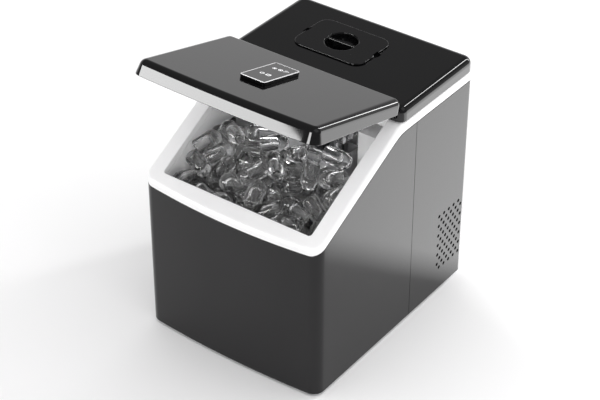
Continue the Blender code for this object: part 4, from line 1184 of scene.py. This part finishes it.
def card(name, corners, strength, edge=None):
    """A flat glowing card that shows only in reflections.

    With an edge, (direction, distance), it fades in across the line p . direction = distance.
    """
    soft = 0.03
    mesh = bpy.data.meshes.new(name)
    mesh.from_pydata(corners, [], [tuple(range(len(corners)))])
    made = bpy.data.objects.new(name, mesh)
    bpy.context.scene.collection.objects.link(made)
    glow, nodes, links = new_material(name)
    nodes.remove(nodes["Principled BSDF"])
    surface = put(nodes, "Emission", {"Strength": strength}).outputs["Emission"]
    if edge is not None:
        direction, distance = edge
        across = way_along(nodes, links, nodes.new("ShaderNodeTexCoord"), direction)
        fade = ranged(nodes, links, across, 0.0, 1.0, distance - soft, distance + soft)
        clear = nodes.new("ShaderNodeBsdfTransparent")
        surface = mixed(nodes, links, fade, clear.outputs["BSDF"], surface)
    links.new(surface, nodes["Material Output"].inputs["Surface"])
    mesh.materials.append(glow)
    made.visible_camera = False
    made.visible_diffuse = False
    made.visible_transmission = False
    made.visible_shadow = False


def make_glow_card():
    """A pale card on the floor beside the machine, as a reflection in its right-hand side."""
    near, far = np.array((0.128, 0.138)), np.array((0.288, 0.082))
    before, beyond, lap, depth, lift = 0.1, 1.6, 0.05, 2.6, 0.003
    along = (far - near) / np.linalg.norm(far - near)
    away = np.array((-along[1], along[0]))
    start, end = near - along * before, far + along * beyond
    corners = (start - away * lap, end - away * lap, end + away * depth, start + away * depth)
    card("glow_card", [(*corner, lift) for corner in corners], SIDE_GLOW,
         ((*away, 0.0), float(near @ away)))


def make_camera(scene):
    """The camera stands in front, to the right and above, and looks down at the machine."""
    down, round_right, roll = 35.051, 36.478, 0.084
    data = bpy.data.cameras.new("camera")
    data.sensor_width = 36.0
    data.lens = 108.26
    data.clip_end = 50.0
    camera = bpy.data.objects.new("camera", data)
    scene.collection.objects.link(camera)
    camera.location = (1.00337, -1.37469, 1.33141)
    turn = Euler((math.radians(90.0 - down), 0.0, math.radians(round_right))).to_quaternion()
    camera.rotation_mode = "QUATERNION"
    camera.rotation_quaternion = turn @ Quaternion((0.0, 0.0, 1.0), math.radians(roll))
    scene.camera = camera


class ICEMAKER_OT_stage(bpy.types.Operator):
    """Floor, background, lights and camera"""

    bl_idname = "icemaker.stage"
    bl_label = "Stage"

    def execute(self, context):
        scene = context.scene
        scene.view_settings.view_transform = "Standard"
        scene.view_settings.look = "None"
        make_world(scene)
        make_floor(scene)
        make_glow_card()
        middle = (0.0, 0.0, 0.15)
        panel_light("key", (1.3, 0.1, 1.9), middle, 1.6, 1.6, 4.0)
        panel_light("strip", (0.52, 1.3, 0.95), middle, 0.12, 1.0, 7.0)
        card("lip_card", ((-1.20, -0.98, 0.45), (-0.285, -0.98, 0.45), (-0.285, -0.98, 0.70),
                          (-0.37, -0.98, 0.722), (-0.60, -0.98, 0.775), (-1.20, -0.98, 0.89)),
             LIP_GLOW)
        card("corner_card", ((-0.10, -1.08, 0.50), (0.34, -1.08, 0.50), (0.34, -1.08, 0.98),
                             (-0.10, -1.08, 0.98)), CORNER_GLOW)
        make_camera(scene)
        return {"FINISHED"}


# ---------------------------------------------------------------- panel and start

OPERATORS = (
    ICEMAKER_OT_finishes, ICEMAKER_OT_front_sheet, ICEMAKER_OT_rear_sheet, ICEMAKER_OT_top_frame,
    ICEMAKER_OT_rear_cover, ICEMAKER_OT_fill_cap, ICEMAKER_OT_lid, ICEMAKER_OT_control_panel,
    ICEMAKER_OT_ice, ICEMAKER_OT_stage,
)


class ICEMAKER_PT_panel(bpy.types.Panel):
    """Sizes, colours and building steps of the ice maker"""

    bl_idname = "ICEMAKER_PT_panel"
    bl_label = "Ice Maker"
    bl_space_type = "VIEW_3D"
    bl_region_type = "UI"
    bl_category = "Ice Maker"

    def draw(self, context):
        layout = self.layout
        for group in (context.scene.ice_maker_sizes, context.scene.ice_maker_colours):
            box = layout.box()
            for name in group.__annotations__:
                box.prop(group, name)
        for operator in OPERATORS:
            layout.operator(operator.bl_idname)


CLASSES = (IceMakerSizes, IceMakerColours, *OPERATORS, ICEMAKER_PT_panel)


def register():
    for cls in CLASSES:
        bpy.utils.register_class(cls)
    bpy.types.Scene.ice_maker_sizes = PointerProperty(type=IceMakerSizes)
    bpy.types.Scene.ice_maker_colours = PointerProperty(type=IceMakerColours)


def unregister():
    del bpy.types.Scene.ice_maker_colours
    del bpy.types.Scene.ice_maker_sizes
    for cls in reversed(CLASSES):
        bpy.utils.unregister_class(cls)


def main():
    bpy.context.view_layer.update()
    register()
    bpy.ops.icemaker.finishes()
    bpy.ops.icemaker.front_sheet()
    bpy.ops.icemaker.rear_sheet()
    bpy.ops.icemaker.top_frame()
    bpy.ops.icemaker.rear_cover()
    bpy.ops.icemaker.fill_cap()
    bpy.ops.icemaker.lid()
    bpy.ops.icemaker.control_panel()
    bpy.ops.icemaker.ice()
    bpy.ops.icemaker.stage()


if __name__ == "__main__":
    main()
